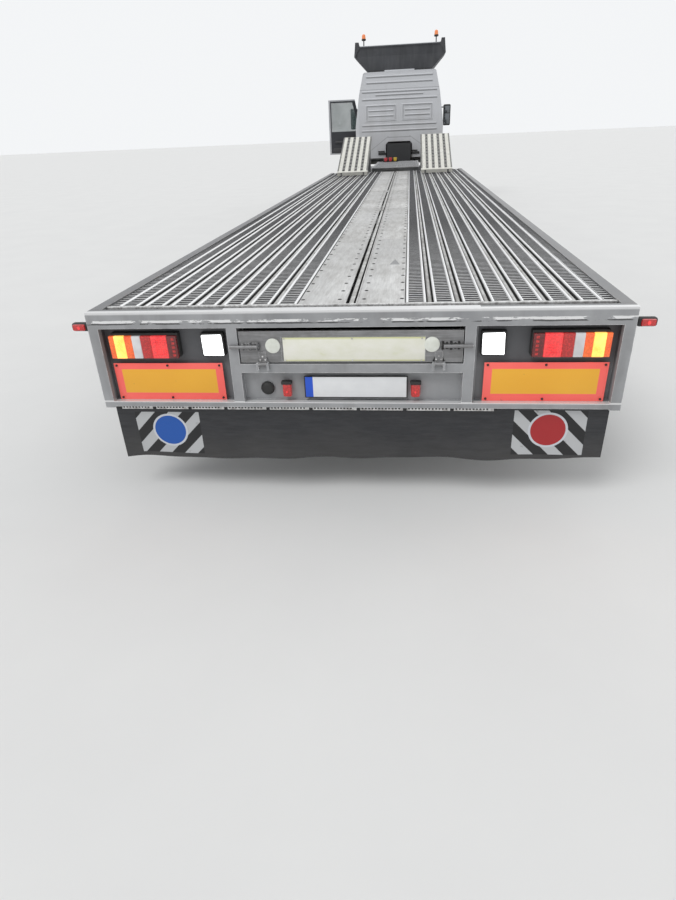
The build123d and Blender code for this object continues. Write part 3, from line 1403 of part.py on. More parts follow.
for side in (-1, 1):
    mast = rod_z(side * beacon_x, beacon_y, deflector_top - 60, beacon_top - beacon_height,
                 beacon_stalk_radius)
    mast += rod_z(side * beacon_x, beacon_y, beacon_top - beacon_height, beacon_top - beacon_height + 30,
                  beacon_radius + 4)
    mast += rod_z(side * beacon_x, beacon_y, beacon_top - beacon_height + 30, beacon_top, beacon_radius)
    mast -= deflector
    beacons.append(mast.solids().sort_by(Axis.Z)[-1])
node("beacons", beacons)

# Front of the cab: grille panel and sun visor
grille = block(-grille_half_width, grille_half_width, cab_front - 2 * grille_depth, cab_front + grille_depth,
               grille_bottom, grille_top) - outer_form
slot_pitch = (grille_top - grille_bottom - 2 * grille_border) / grille_slots
for index in range(grille_slots):
    slot_bottom = grille_bottom + grille_border + index * slot_pitch
    grille -= block(-grille_half_width + grille_border, grille_half_width - grille_border,
                    cab_front + grille_depth - grille_slot_depth, past_cab, slot_bottom,
                    slot_bottom + slot_pitch * grille_slot_share)
for side in (-1, 1):
    lug_half = tilt_lug_width / 2 + 4
    front_part -= block(side * tilt_lug_x - lug_half, side * tilt_lug_x + lug_half, cab_tilt_y - 60, past_cab,
                        0, cab_tilt_z + tilt_boss_radius + 5)
node("cab_front", front_part + grille.solids().sort_by(Axis.Y)[-1])
visor_rear = cab_front - cab_brow_back - visor_root
visor_tip = visor_rear + 40 + visor_reach
visor_top = roof_split + 40
visor = prism_x([
    (visor_rear, visor_top), (visor_tip, visor_top - visor_height),
    (visor_tip, visor_top - visor_height + visor_thickness), (visor_rear + 10, visor_top + 20),
], -cab_half_roof - 10, cab_half_roof + 10)
visor -= outer_form
node("cab_roof", roof_part + visor.solids().sort_by(Axis.Y)[-1])

# All pieces are moved as one, so that the middle of their common box stands over the origin
corners_low = []
corners_high = []
for solids in nodes.values():
    for solid in solids:
        box = solid.bounding_box()
        corners_low.append(box.min)
        corners_high.append(box.max)
centre_x = (min(c.X for c in corners_low) + max(c.X for c in corners_high)) / 2
centre_y = (min(c.Y for c in corners_low) + max(c.Y for c in corners_high)) / 2
ground_z = min(c.Z for c in corners_low)
to_origin = Pos(-centre_x, -centre_y, -ground_z)

os.makedirs("parts", exist_ok=True)
for name, solids in nodes.items():
    placed = [to_origin * solid for solid in solids]
    export_step(Compound(placed) if len(placed) > 1 else placed[0], f"parts/{name}.step")
print(len(nodes), "nodes, moved by", round(-centre_x, 2), round(-centre_y, 2), round(-ground_z, 2))
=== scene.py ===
"""Looks of a car transporter: a cab-over tractor and a flat semi-trailer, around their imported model."""
import math

import bmesh
import bpy
from mathutils import Matrix, Vector


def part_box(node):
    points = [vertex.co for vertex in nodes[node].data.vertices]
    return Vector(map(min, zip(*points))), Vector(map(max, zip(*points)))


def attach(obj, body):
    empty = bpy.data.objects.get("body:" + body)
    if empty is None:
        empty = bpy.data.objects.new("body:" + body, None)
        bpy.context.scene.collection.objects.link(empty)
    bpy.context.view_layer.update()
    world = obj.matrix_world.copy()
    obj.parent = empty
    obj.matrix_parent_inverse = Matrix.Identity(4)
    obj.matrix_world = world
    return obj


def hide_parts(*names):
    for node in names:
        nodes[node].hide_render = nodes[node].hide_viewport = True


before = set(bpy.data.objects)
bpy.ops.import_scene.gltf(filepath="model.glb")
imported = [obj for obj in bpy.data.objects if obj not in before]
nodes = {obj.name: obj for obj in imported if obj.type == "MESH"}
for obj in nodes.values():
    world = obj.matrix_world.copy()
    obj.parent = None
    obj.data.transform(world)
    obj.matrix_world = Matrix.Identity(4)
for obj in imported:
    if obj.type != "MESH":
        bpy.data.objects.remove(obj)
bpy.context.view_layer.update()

# Where the truck stands. Every size below is in metres from the trailer's own datum:
# x from its centreline to the right, y forward from its rear face, z up from the ground.
# The datum is read from the side rails, which run along both edges of the deck.
rail_low, rail_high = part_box("side_rails")
rail_setback = 0.064
datum = Vector(((rail_low.x + rail_high.x) / 2, rail_low.y - rail_setback, 0))
deck_top = 1.0

# The camera: at eye height behind the trailer, a little to the right, and tipped down at the
# ground. It leans a little to one side, as the deck in the photo does.
photo_height, focal_pixels, film_height = 900, 600, 36
pitch, yaw, roll = 0.4872, 0.1265, -0.0453
camera_place = Vector((0.2705, -2.7093, 1.7209))
look = Vector((-math.sin(yaw) * math.cos(pitch), math.cos(yaw) * math.cos(pitch), -math.sin(pitch)))
level_right = Vector((math.cos(yaw), math.sin(yaw), 0))
level_up = level_right.cross(look)
right = level_right * math.cos(roll) + level_up * math.sin(roll)
up = level_up * math.cos(roll) - level_right * math.sin(roll)
camera = bpy.data.objects.new("camera", bpy.data.cameras.new("camera"))
camera.data.sensor_fit = "VERTICAL"
camera.data.sensor_height = film_height
camera.data.lens = film_height * focal_pixels / photo_height
camera.data.clip_end = 300
camera_turn = Matrix((right, up, -look)).transposed().to_4x4()
camera.matrix_world = Matrix.Translation(datum + camera_place) @ camera_turn
bpy.context.collection.objects.link(camera)
bpy.context.scene.camera = camera
bpy.context.scene.view_settings.view_transform = "Standard"

# The light of an overcast day in a studio: a pale sky that comes from all sides, with one
# broad soft sun, and a plain pale floor that keeps the shadow under the truck. The sky looks
# brighter to the camera, in reflections and through glass than its own light is.
sky_level, seen_level = 0.62, 0.93
world = bpy.data.worlds.new("overcast")
world.use_nodes = True
bpy.context.scene.world = world
wire = world.node_tree.links.new
sky = world.node_tree.nodes["Background"]
sky.inputs["Color"].default_value = (0.97, 0.985, 1, 1)
ray = world.node_tree.nodes.new("ShaderNodeLightPath")
seen = ray.outputs["Is Camera Ray"]
for kind in ("Is Glossy Ray", "Is Transmission Ray"):
    either = world.node_tree.nodes.new("ShaderNodeMath")
    wire(seen, either.inputs[0])
    wire(ray.outputs[kind], either.inputs[1])
    seen = either.outputs[0]
level = world.node_tree.nodes.new("ShaderNodeMapRange")
level.inputs["To Min"].default_value = sky_level
level.inputs["To Max"].default_value = seen_level
wire(seen, level.inputs["Value"])
wire(level.outputs[0], sky.inputs["Strength"])
for name, strength, angle, turn in (("sun", 1.15, 0.55, (0.62, -0.1, -0.5)),
                                    ("fill", 0.45, 1.2, (0.95, 0, 2.6))):
    sun = bpy.data.lights.new(name, "SUN")
    sun.energy = strength
    sun.angle = angle
    lamp = bpy.data.objects.new(name, sun)
    lamp.rotation_euler = turn
    bpy.context.collection.objects.link(lamp)


class Field:
    """One output of a shader node, which takes part in sums as a number does."""

    def __init__(self, finish, socket):
        self.finish = finish
        self.socket = socket

    def sum(self, operation, *values):
        return self.finish.node("Math", *values, operation=operation)

    def __add__(self, other):
        return self.sum("ADD", self, other)

    def __sub__(self, other):
        return self.sum("SUBTRACT", self, other)

    def __rsub__(self, other):
        return self.sum("SUBTRACT", other, self)

    def __mul__(self, other):
        return self.sum("MULTIPLY", self, other)

    def __truediv__(self, other):
        return self.sum("DIVIDE", self, other)

    def __pow__(self, other):
        return self.sum("POWER", self, other)

    def __gt__(self, other):
        return self.sum("GREATER_THAN", self, other)

    def __lt__(self, other):
        return self.sum("LESS_THAN", self, other)

    def __abs__(self):
        return self.sum("ABSOLUTE", self)

    def larger(self, other):
        return self.sum("MAXIMUM", self, other)

    def wrapped(self, length):
        """The remainder after whole lengths, from zero up to the length."""
        return self.sum("FLOORED_MODULO", self, length)

    def between(self, low, high):
        """0 below low, 1 above high, and a straight ramp from one to the other."""
        return self.finish.node("MapRange", self, low, high, 0, 1)

    def inside(self, low, high):
        """1 between two values and 0 outside them."""
        return (self > low) * (self < high)

    def clamped(self):
        return self.finish.node("Clamp", self)


class Finish:
    """A material under construction: its nodes, and the fields that most finishes start from."""

    def __init__(self, name):
        self.material = bpy.data.materials.new(name)
        self.material.use_nodes = True
        self.tree = self.material.node_tree
        self.place = self.node("TexCoord", output="Object")

    def node(self, kind, *values, output=0, named=None, **settings):
        """A node of one kind, its settings first and then the values or links of its sockets."""
        made = self.tree.nodes.new("ShaderNode" + kind)
        for key, value in settings.items():
            setattr(made, key, value)
        for socket, value in zip([socket for socket in made.inputs if socket.enabled], values):
            self.give(socket, value)
        for key, value in (named or {}).items():
            self.give(made.inputs[key], value)
        return Field(self, made.outputs[output])

    def give(self, socket, value):
        """A socket takes a link, a number or a colour."""
        if isinstance(value, Field):
            self.tree.links.new(value.socket, socket)
        elif isinstance(value, tuple) and socket.type == "RGBA":
            socket.default_value = (*value, 1)
        else:
            socket.default_value = value

    def split(self, vector, names="XYZ"):
        return [self.node("SeparateXYZ", vector, output=name) for name in names]

    def axes(self, names="XYZ"):
        """Coordinates of a place on the piece, in metres from the trailer's datum."""
        offsets = [datum["XYZ".index(name)] for name in names]
        parts = self.split(self.place, names)
        return [part - offset if offset else part for part, offset in zip(parts, offsets)]

    def noise(self, scale, detail=3.0, roughness=0.55, stretch=None):
        """Cloudy noise from 0 to 1, a metre over its scale across, drawn out by a stretch below 1."""
        place = self.node("Mapping", self.place, named={"Scale": stretch}) if stretch else self.place
        return self.node("TexNoise", named={"Vector": place, "Scale": scale, "Detail": detail,
                                            "Roughness": roughness})

    def cells(self, scale):
        """The distance to the nearest of many scattered points, for chips, grit and grain."""
        return self.node("TexVoronoi", named={"Vector": self.place, "Scale": scale}, output="Distance")

    def mix(self, factor, low, high):
        """A colour that goes from low to high with the factor."""
        made = self.tree.nodes.new("ShaderNodeMix")
        made.data_type = "RGBA"
        for number, value in ((0, factor), (6, low), (7, high)):
            self.give(made.inputs[number], value)
        return Field(self, made.outputs[2])

    def coats(self, colour, *coats):
        """A colour under further coats, each given as its share and its own colour."""
        for share, coat in coats:
            colour = self.mix(share, colour, coat)
        return colour

    def edges(self, width):
        """1 on worn edges and 0 on flat faces, from the bent normal of a bevel of that width."""
        bent = self.node("Bevel", named={"Radius": width})
        flat = self.node("NewGeometry", output="Normal")
        return 1 - self.node("VectorMath", bent, flat, operation="DOT_PRODUCT", output="Value")

    def facing(self):
        """The way that the surface looks."""
        return self.node("TexCoord", output="Normal")

    def upward(self):
        """1 on faces that look up, 0 on upright ones."""
        return self.split(self.facing(), "Z")[0].between(0.15, 0.85)

    def done(self, colour, roughness, metallic=0.0, relief=None, **sockets):
        """Sets the surface, its relief as height, distance and strength, and gives the material."""
        values = {"Base Color": colour, "Roughness": roughness, "Metallic": metallic}
        if relief:
            bump = dict(zip(("Height", "Distance", "Strength"), relief))
            values["Normal"] = self.node("Bump", named=bump)
        values.update({key.replace("_", " "): value for key, value in sockets.items()})
        for key, value in values.items():
            self.give(self.tree.nodes["Principled BSDF"].inputs[key], value)
        return self.material


ground = Finish("pale_floor")
ground_tone = ground.mix(ground.noise(1.4, 5), (0.74, 0.74, 0.735), (0.80, 0.80, 0.79))
floor_half = 140
floor_corners = [(x * floor_half, y * floor_half, 0) for x, y in ((-1, -1), (1, -1), (1, 1), (-1, 1))]
floor_mesh = bpy.data.meshes.new("floor")
floor_mesh.from_pydata(floor_corners, [], [(0, 1, 2, 3)])
floor_mesh.materials.append(ground.done(ground_tone, 0.85))
floor = bpy.data.objects.new("floor", floor_mesh)
bpy.context.collection.objects.link(floor)


# Chassis: welded I-beams and cross members, dark paint that has gone dull, with grey road
# film low down, rust at the weld seams and bare steel where the paint has chipped off.
def shades(tone, share):
    """A darker shade of a colour, and the colour itself."""
    return tuple(channel * share for channel in tone), tone


def steel_paint(name, tone, dust=0.5, chips=0.35, rust=0.25, chip_tone=(0.55, 0.55, 0.54)):
    """Paint on steel: cloudy film, chipped edges, a little rust around the chips and runs of dirt."""
    paint = Finish(name)
    [z] = paint.axes("Z")
    cloud = paint.noise(3.5, 5)
    runs = paint.noise(7, 4, stretch=(1, 1, 0.12))
    film = (cloud * 0.7 + runs * 0.5 + z.between(1.3, 0.2) * 0.35).between(0.55, 1.2) * dust
    worn = paint.edges(0.006).between(0.02, 0.16) * paint.noise(26, 4, 0.65).between(0.36, 0.62)
    specks = paint.noise(60, 2).between(0.71 - 0.04 * chips, 0.75) * cloud.between(0.45, 0.6)
    bare = (worn * (chips * 2.4)).larger(specks * chips).clamped()
    stain = ((worn + specks * 0.6) * paint.noise(9, 3).between(0.5, 0.68) * (rust * 2.5)).clamped()
    body = paint.coats(paint.mix(cloud.between(0.3, 0.7), *shades(tone, 0.78)),
                       (film, (0.36, 0.33, 0.29)), (bare, chip_tone), (stain, (0.23, 0.10, 0.045)))
    height = paint.noise(90, 4, 0.7) * 0.35 + cloud * 0.4 - bare * 0.8
    return paint.done(body, film * 0.35 + 0.42 + stain * 0.3, bare * 0.55, (height, 0.0012, 0.35))


def dress(material, *names):
    """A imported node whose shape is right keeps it, and takes this finish."""
    for name in names:
        materials = nodes[name].data.materials
        materials.clear()
        materials.append(material)


chassis_paint = steel_paint("chassis_paint", (0.055, 0.057, 0.06), dust=0.62)
dress(chassis_paint, "trailer_chassis", "cross_members", "trailer_axles", "parking_legs", "tractor_chassis",
      "coupling_plate", "tractor_axles", "knuckle_left", "knuckle_right")
frame_paint = steel_paint("frame_paint", (0.30, 0.305, 0.315), dust=0.35, chips=0.8, rust=0.15,
                          chip_tone=(0.82, 0.82, 0.82))
dress(frame_paint, "side_guards")
rail_paint = steel_paint("rail_paint", (0.16, 0.165, 0.175), dust=0.4, chips=0.55)
dress(rail_paint, "side_rails", "ramp_store", "ramp_stands")


# Fuel tank and metal sheets: aluminium or steel that is left bare, rolled to size and folded
# or welded. It carries long rolling lines, dull patches and dirt that has been trodden in.
def bare_metal(name, tone, roughness=0.38, grime=0.5):
    """Rolled metal with no paint, scratched along y."""
    metal = Finish(name)
    lines = metal.noise(120, 3, 0.6, stretch=(2, 0.12, 2))
    dirt = (metal.noise(11, 5, 0.65) * 0.6 + metal.noise(2.2, 5, 0.6) * 0.6).between(0.52, 0.86) * grime
    body = metal.mix(dirt, metal.mix(lines.between(0.3, 0.7), *shades(tone, 0.8)), (0.17, 0.155, 0.14))
    return metal.done(body, dirt * 0.35 + lines * 0.12 + (roughness - 0.06), (1 - dirt * 0.7) * 0.75,
                      (lines * 0.5 + metal.noise(40, 3) * 0.3, 0.0008, 0.4))


dress(bare_metal("deck_aluminium", (0.66, 0.665, 0.67)), "fuel_tank")


# Mudguards, boxes, mirrors and dashboard: dark plastic, moulded with a fine leather-like grain
# and clipped or bolted on. Dust lies on what looks up. The engine block has the same dull black.
def moulded(name, tone, roughness=0.5):
    """Grained plastic with its dust."""
    plastic = Finish(name)
    cloud = plastic.noise(4, 4)
    lying = plastic.upward() * cloud.between(0.25, 0.8) * 0.35
    body = plastic.mix(cloud.between(0.3, 0.75), *shades(tone, 0.85))
    body = plastic.mix(lying, body, (0.33, 0.315, 0.29))
    return plastic.done(body, lying * 0.3 + cloud * 0.12 + (roughness - 0.06), 0.0,
                        (plastic.cells(500), 0.0006, 0.3))


dress(moulded("black_plastic", (0.028, 0.029, 0.031)), "trailer_mudguards", "tractor_mudguards",
      "dashboard", "mirrors", "chassis_boxes", "engine")


# Deck: extruded aluminium planks that run the whole length, each with two rounded ridges and a
# trough bridged by rungs, for the tyres to grip. Half-round gutters lie between them. The ridges
# are polished by wheels and painted brighter as a highlight, and trodden dirt lies over the planks.
# The troughs, the upright faces of the rungs and the rungs further forward are painted dark as
# shade, and the valleys hold a near-black painted shade under dust.
class Piece:
    """A mesh under construction, in metres from the trailer's datum."""

    def __init__(self, name):
        self.name = name
        self.mesh = bmesh.new()
        self.materials = []

    def paint(self, faces, material):
        """Gives these faces a material, and keeps it in the piece's list."""
        if material not in self.materials:
            self.materials.append(material)
        for face in faces:
            face.material_index = self.materials.index(material)
            face.smooth = True
        return faces

    def skin(self, rings, material, closed=True, looped=False):
        """Faces between rings of points, each ring joined to the next, with flat ends."""
        rows = [[self.mesh.verts.new(point) for point in ring] for ring in rings]
        faces = []
        for low, high in zip(rows, rows[1:] + (rows[:1] if looped else [])):
            for i in range(len(low) if closed else len(low) - 1):
                j = (i + 1) % len(low)
                faces.append(self.mesh.faces.new((low[i], low[j], high[j], high[i])))
        if not looped:
            faces.append(self.mesh.faces.new(rows[0][::-1]))
            faces.append(self.mesh.faces.new(rows[-1]))
        return self.paint(faces, material)

    def prism(self, outline, low, high, material, bevel=0.0):
        """A straight bar along y with an outline in x and z, its edges rounded by the bevel."""
        faces = self.skin([[(x, along, z) for x, z in outline] for along in (low, high)], material)
        if bevel:
            edges = list({edge for face in faces for edge in face.edges})
            made = bmesh.ops.bevel(self.mesh, geom=edges, offset=bevel, segments=2, profile=0.5,
                                   affect="EDGES", clamp_overlap=True)
            self.paint(made["faces"], material)

    def box(self, low, high, material, bevel=0.0, side=1):
        """A block between two corners, which are given for the right and mirrored for the left."""
        west, east = sorted((side * low[0], side * high[0]))
        outline = [(west, low[2]), (east, low[2]), (east, high[2]), (west, high[2])]
        self.prism(outline, low[1], high[1], material, bevel)

    def pair(self, low, high, material, bevel=0.0):
        """The same block on both sides."""
        for side in (-1, 1):
            self.box(low, high, material, bevel, side)

    def turned(self, profile, centre, axis, material, steps=28):
        """A lathe-turned form: the profile's points are (along the axis, radius)."""
        shaft, across, rise = [Vector([float(i == ("xyz".index(axis) + n) % 3) for i in range(3)])
                               for n in range(3)]
        rings = []
        for turn in [2 * math.pi * i / steps for i in range(steps)]:
            outward = across * math.cos(turn) + rise * math.sin(turn)
            rings.append([Vector(centre) + shaft * along + outward * radius for along, radius in profile])
        faces = self.skin(rings, material, closed=False, looped=True)
        corners = {corner for face in faces for corner in face.verts}
        bmesh.ops.remove_doubles(self.mesh, verts=list(corners), dist=1e-6)

    def tube(self, points, radius, material, sides=10):
        """A round bar along a path."""
        points = [Vector(point) for point in points]
        rings = []
        for i, point in enumerate(points):
            heading = (points[min(i + 1, len(points) - 1)] - points[max(i - 1, 0)]).normalized()
            helper = Vector((0, 0, 1)) if abs(heading.z) < 0.9 else Vector((0, 1, 0))
            across = heading.cross(helper).normalized()
            rise = across.cross(heading)
            rings.append([point + (across * math.cos(turn) + rise * math.sin(turn)) * radius
                          for turn in [2 * math.pi * n / sides for n in range(sides)]])
        self.skin(rings, material)

    def take(self, mesh):
        """Adds a finished mesh that Geometry Nodes made, with its material."""
        before = set(self.mesh.faces)
        self.mesh.from_mesh(mesh)
        self.paint(set(self.mesh.faces) - before, mesh.materials[-1])
        bpy.data.meshes.remove(mesh)

    def done(self, body, slot, *replaced, crease=0.6):
        """Makes the object, hands it to its body, and hides the nodes it stands for. The slot is not used.
        """
        bmesh.ops.recalc_face_normals(self.mesh, faces=self.mesh.faces)
        mesh = bpy.data.meshes.new(self.name)
        self.mesh.to_mesh(mesh)
        self.mesh.free()
        mesh.transform(Matrix.Translation(datum))
        for material in self.materials:
            mesh.materials.append(material)
        mesh.set_sharp_from_angle(angle=crease)
        made = bpy.data.objects.new(self.name, mesh)
        bpy.context.collection.objects.link(made)
        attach(made, body)
        if replaced:
            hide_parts(*replaced)
        return made


class Growth:
    """A Geometry Nodes tree under construction, which grows a mesh from points that it is given."""

    def __init__(self, name):
        self.name = name
        self.tree = bpy.data.node_groups.new(name, "GeometryNodeTree")
        self.values = {}
        self.tree.interface.new_socket("Points", in_out="INPUT", socket_type="NodeSocketGeometry")
        self.tree.interface.new_socket("Grown", in_out="OUTPUT", socket_type="NodeSocketGeometry")
        self.start = self.tree.nodes.new("NodeGroupInput")
        self.end = self.tree.nodes.new("NodeGroupOutput")

    def named(self, name, value):
        """An input of the tree, by name, with the value that the modifier gives it."""
        kind = {int: "Int", float: "Float", tuple: "Vector"}[type(value)]
        socket = self.tree.interface.new_socket(name, in_out="INPUT", socket_type="NodeSocket" + kind)
        self.values[socket.identifier] = value
        return self.start.outputs[name]

    def node(self, kind, **sockets):
        """A node of the tree, with its sockets by name."""
        made = self.tree.nodes.new("GeometryNode" + kind)
        for key, value in sockets.items():
            socket = made.inputs[key.replace("_", " ")]
            if isinstance(value, bpy.types.NodeSocket):
                self.tree.links.new(value, socket)
            else:
                socket.default_value = value
        return made.outputs[0]

    def copies(self, shape, points=None, turn=(0, 0, 0)):
        """The shape at every point, those that the tree is given unless others are named."""
        return self.node("InstanceOnPoints", Points=points or self.start.outputs["Points"], Instance=shape,
                         Rotation=turn)

    def grow(self, points, grown, material):
        """Runs the tree on these points and gives the mesh, made plain."""
        real = self.node("RealizeInstances", Geometry=grown)
        dyed = self.node("SetMaterial", Geometry=real, Material=material)
        self.tree.links.new(dyed, self.end.inputs[0])
        seeds = bpy.data.meshes.new(self.name)
        seeds.from_pydata([tuple(point) for point in points], [], [])
        seed = bpy.data.objects.new(self.name, seeds)
        bpy.context.collection.objects.link(seed)
        modifier = seed.modifiers.new(self.name, "NODES")
        modifier.node_group = self.tree
        for identifier, value in self.values.items():
            modifier[identifier] = value
        bpy.context.view_layer.update()
        evaluated = seed.evaluated_get(bpy.context.evaluated_depsgraph_get())
        grown_mesh = bpy.data.meshes.new_from_object(evaluated)
        seed.modifiers.remove(modifier)
        bpy.data.objects.remove(seed)
        return grown_mesh


def scattered(kind, points, material, turn, **sizes):
    """The same small shape at every point, its sizes and its turn as inputs of the tree."""
    rows = Growth(kind)
    shape = rows.node(kind, **{key: rows.named(key, value) for key, value in sizes.items()})
    return rows.grow(points, rows.copies(shape, turn=rows.named("Turn", turn)), material)


def bars(points, size, material, turn=(0, 0, 0)):
    """The same small flat bar at every point."""
    return scattered("MeshCube", points, material, turn, Size=size)


def rounds(points, radius, depth, sides, material, turn=(0, 0, 0)):
    """The same bolt head, rivet or hole at every point: a low cone with this many sides."""
    return scattered("MeshCone", points, material, turn, Vertices=sides, Radius_Bottom=radius,
                     Radius_Top=radius * 0.86, Depth=depth)


def arc(count):
    """Angles of a half circle, from 0 to 180 degrees."""
    return [math.pi * n / count for n in range(count + 1)]


plank_count, plank_inner, plank_pitch, plank_width = 7, 0.262, 0.133, 0.098
plank_low, ridge_width, ridge_height = 0.955, 0.014, 0.008
deck_rear, deck_end, deck_half = 0.130, 10.310, 1.215
trough_inset, trough_depth = 0.0145, 0.016
rung_pitch, rung_length, rung_thick = 0.037, 0.014, 0.005
strip_width, strip_wall, gutter_radius, valley_top = 0.076, 0.008, 0.0125, 0.961
band_top = deck_top - ridge_height

metal = Finish("plank_aluminium")
[z] = metal.axes("Z")
lines = metal.noise(160, 3, 0.6, stretch=(1.4, 0.05, 1.4))
grit = metal.noise(38, 4, 0.7)
# The ridge tops are painted near white: polish from the wheels, and a painted highlight.
ridge_polish_and_highlight = z.between(band_top + 0.001, band_top + 0.005)
trodden = (metal.noise(1.6, 5, 0.62) * 0.75 + grit * 0.55).between(0.45, 0.95)
dirt = (trodden * 0.75 - ridge_polish_and_highlight * 0.55).clamped()
# Painted shade: the trough below its rim is painted near black, and loses its metal look.
trough_shade = z.between(band_top - 0.0005, band_top - 0.0022)
tone = metal.coats(metal.mix(lines.between(0.35, 0.65), (0.46, 0.465, 0.47), (0.66, 0.665, 0.67)),
                   (ridge_polish_and_highlight * 0.85, (0.88, 0.88, 0.88)), (dirt, (0.12, 0.112, 0.10)),
                   (trough_shade, (0.012, 0.012, 0.011)))
plank_metal = metal.done(tone, dirt * 0.3 + trough_shade * 0.3 + lines * 0.1 + 0.28, 0.8 - dirt * 0.6 - trough_shade * 0.8,
                         (lines * 0.4 + grit * 0.5, 0.0008, 0.4))

metal = Finish("rung_aluminium")
y, z = metal.axes("YZ")
cloud = metal.noise(30, 4, 0.65)
# Painted shade: the upright faces of the rungs, and the rungs further forward, are darkened.
upright = z.between(band_top - 0.0003, band_top - 0.0012)
tone = metal.coats(metal.mix(cloud.between(0.3, 0.7), (0.36, 0.36, 0.365), (0.62, 0.62, 0.62)),
                   (y.between(0.4, 2.8) * 0.85, (0.075, 0.075, 0.08)), (upright, (0.022, 0.022, 0.023)))
rung_metal = metal.done(tone, 0.55, 0.3 - upright * 0.3, (cloud, 0.0006, 0.4))

# Valleys and side gaps: a near-black fill stands for the shade down in the gaps (painted shade), with real
# dust on it.
dirt = Finish("valley_shade_and_dust")
cloud = dirt.noise(2.4, 5, 0.7, stretch=(4, 0.6, 1))
dust = cloud.between(0.52, 0.66) * dirt.noise(60, 3, 0.7).between(0.35, 0.6)
valley_shade_and_dust = dirt.done(dirt.mix(dust, (0.03, 0.029, 0.027), (0.34, 0.31, 0.25)), 0.85, 0.0,
                        (dirt.noise(90, 4), 0.002, 0.6))
gutter_metal = bare_metal("gutter_aluminium", (0.60, 0.60, 0.585), 0.42, grime=0.9)


def plank_outline(inner):
    """The section of one plank, from its outer foot over both ridges to the inner foot."""
    rise = [(inner, plank_low)]
    rise += [(inner + ridge_width / 2 * (1 - math.cos(turn)), band_top + ridge_height * math.sin(turn))
             for turn in arc(6)]
    rise += [(inner + trough_inset, band_top), (inner + trough_inset, band_top - trough_depth)]
    return rise + [(2 * inner + plank_width - px, pz) for px, pz in reversed(rise)]


planks = Piece("deck_planks_dressed")
rung_x = []
for side in (-1, 1):
    for number in range(plank_count):
        inner = plank_inner + plank_pitch * number
        start = inner if side > 0 else -inner - plank_width
        planks.prism(plank_outline(start), deck_rear, deck_end, plank_metal)
        rung_x.append(start + plank_width / 2)
        valley = (inner + plank_width, inner + plank_pitch)
        if number < plank_count - 1:
            planks.box((valley[0], deck_rear, plank_low), (valley[1], deck_end, valley_top), valley_shade_and_dust,
                       side=side)
            gutter_x = side * sum(valley) / 2
            half_round = [(gutter_x - gutter_radius * math.cos(turn),
                           band_top - 0.004 - gutter_radius * (1 - math.sin(turn))) for turn in arc(6)]
            feet = [(gutter_x + reach, valley_top) for reach in (-gutter_radius, gutter_radius)]
            planks.prism(feet[:1] + half_round + feet[1:], deck_rear, deck_end, gutter_metal)
planks.pair((plank_inner + plank_pitch * 7 - 0.035, deck_rear, plank_low),
            (deck_half, deck_end, plank_low + 0.004), valley_shade_and_dust)
strip_low = plank_inner + plank_pitch * (plank_count - 1) + plank_width + 0.006
for side in (-1, 1):
    for wall in (strip_low, strip_low + strip_width - strip_wall):
        planks.box((wall, deck_rear, plank_low + 0.004), (wall + strip_wall, deck_end, band_top + 0.001),
                   plank_metal, 0.002, side)
    rung_x.append(side * (strip_low + strip_width / 2))
rungs = Growth("rungs")
rung_count = int((deck_end - deck_rear - 0.06) / rung_pitch)
line = rungs.node("MeshLine", Count=rungs.named("Rungs", rung_count),
                  Offset=rungs.named("Pitch", (0, rung_pitch, 0)))
ladders = rungs.node("RealizeInstances", Geometry=rungs.copies(line))
rung_size = (plank_width - 2 * trough_inset, rung_length, rung_thick)
rung = rungs.node("MeshCube", Size=rungs.named("Rung", rung_size))
starts = [(place, deck_rear + 0.03, band_top - rung_thick / 2) for place in rung_x]
planks.take(rungs.grow(starts, rungs.copies(rung, ladders), rung_metal))
planks.done("trailer", "aluminium_deck", "deck_planks")


# Centre plates: two rows of smooth aluminium sheets either side of a channel, folded up along it
# and screwed down through rows of holes. A dark scuff crosses the right one near the rear.
metal = Finish("plate_aluminium")
x, y = metal.axes("XY")
lines = metal.noise(110, 3, 0.6, stretch=(1, 0.07, 1))
scuff = metal.noise(14, 5, 0.7, stretch=(1.6, 0.35, 1))
grime = (metal.noise(1.1, 5, 0.6) * 0.7 + scuff * 0.6).between(0.52, 0.95)
grime = (grime * 0.8 + metal.noise(180, 2).between(0.66, 0.74) * 0.5).clamped()
mark_low, mark_high, mark_half, mark_x = 1.07, 1.24, 0.032, 0.190
mark_rise = (y - mark_low) / (mark_high - mark_low)
mark = y.inside(mark_low, mark_high) * (abs(x - mark_x) + mark_rise * mark_half < mark_half)
tone = metal.coats(metal.mix(lines.between(0.3, 0.7), (0.50, 0.50, 0.495), (0.64, 0.64, 0.63)),
                   (grime, (0.20, 0.185, 0.165)), (mark * 0.8, (0.16, 0.165, 0.17)))
plate_metal = metal.done(tone, grime * 0.3 + 0.36, 0.55 - grime * 0.45,
                         (lines * 0.4 + scuff * 0.3, 0.0008, 0.35))
# Holes, slots and cuts are drawn as thin near-black discs and bars on the surface: painted shade for their
# insides.
hole = Finish("hole_shade")
hole_shade = hole.done(hole.mix(hole.noise(200), (0.008, 0.008, 0.008), (0.02, 0.019, 0.017)), 0.9)

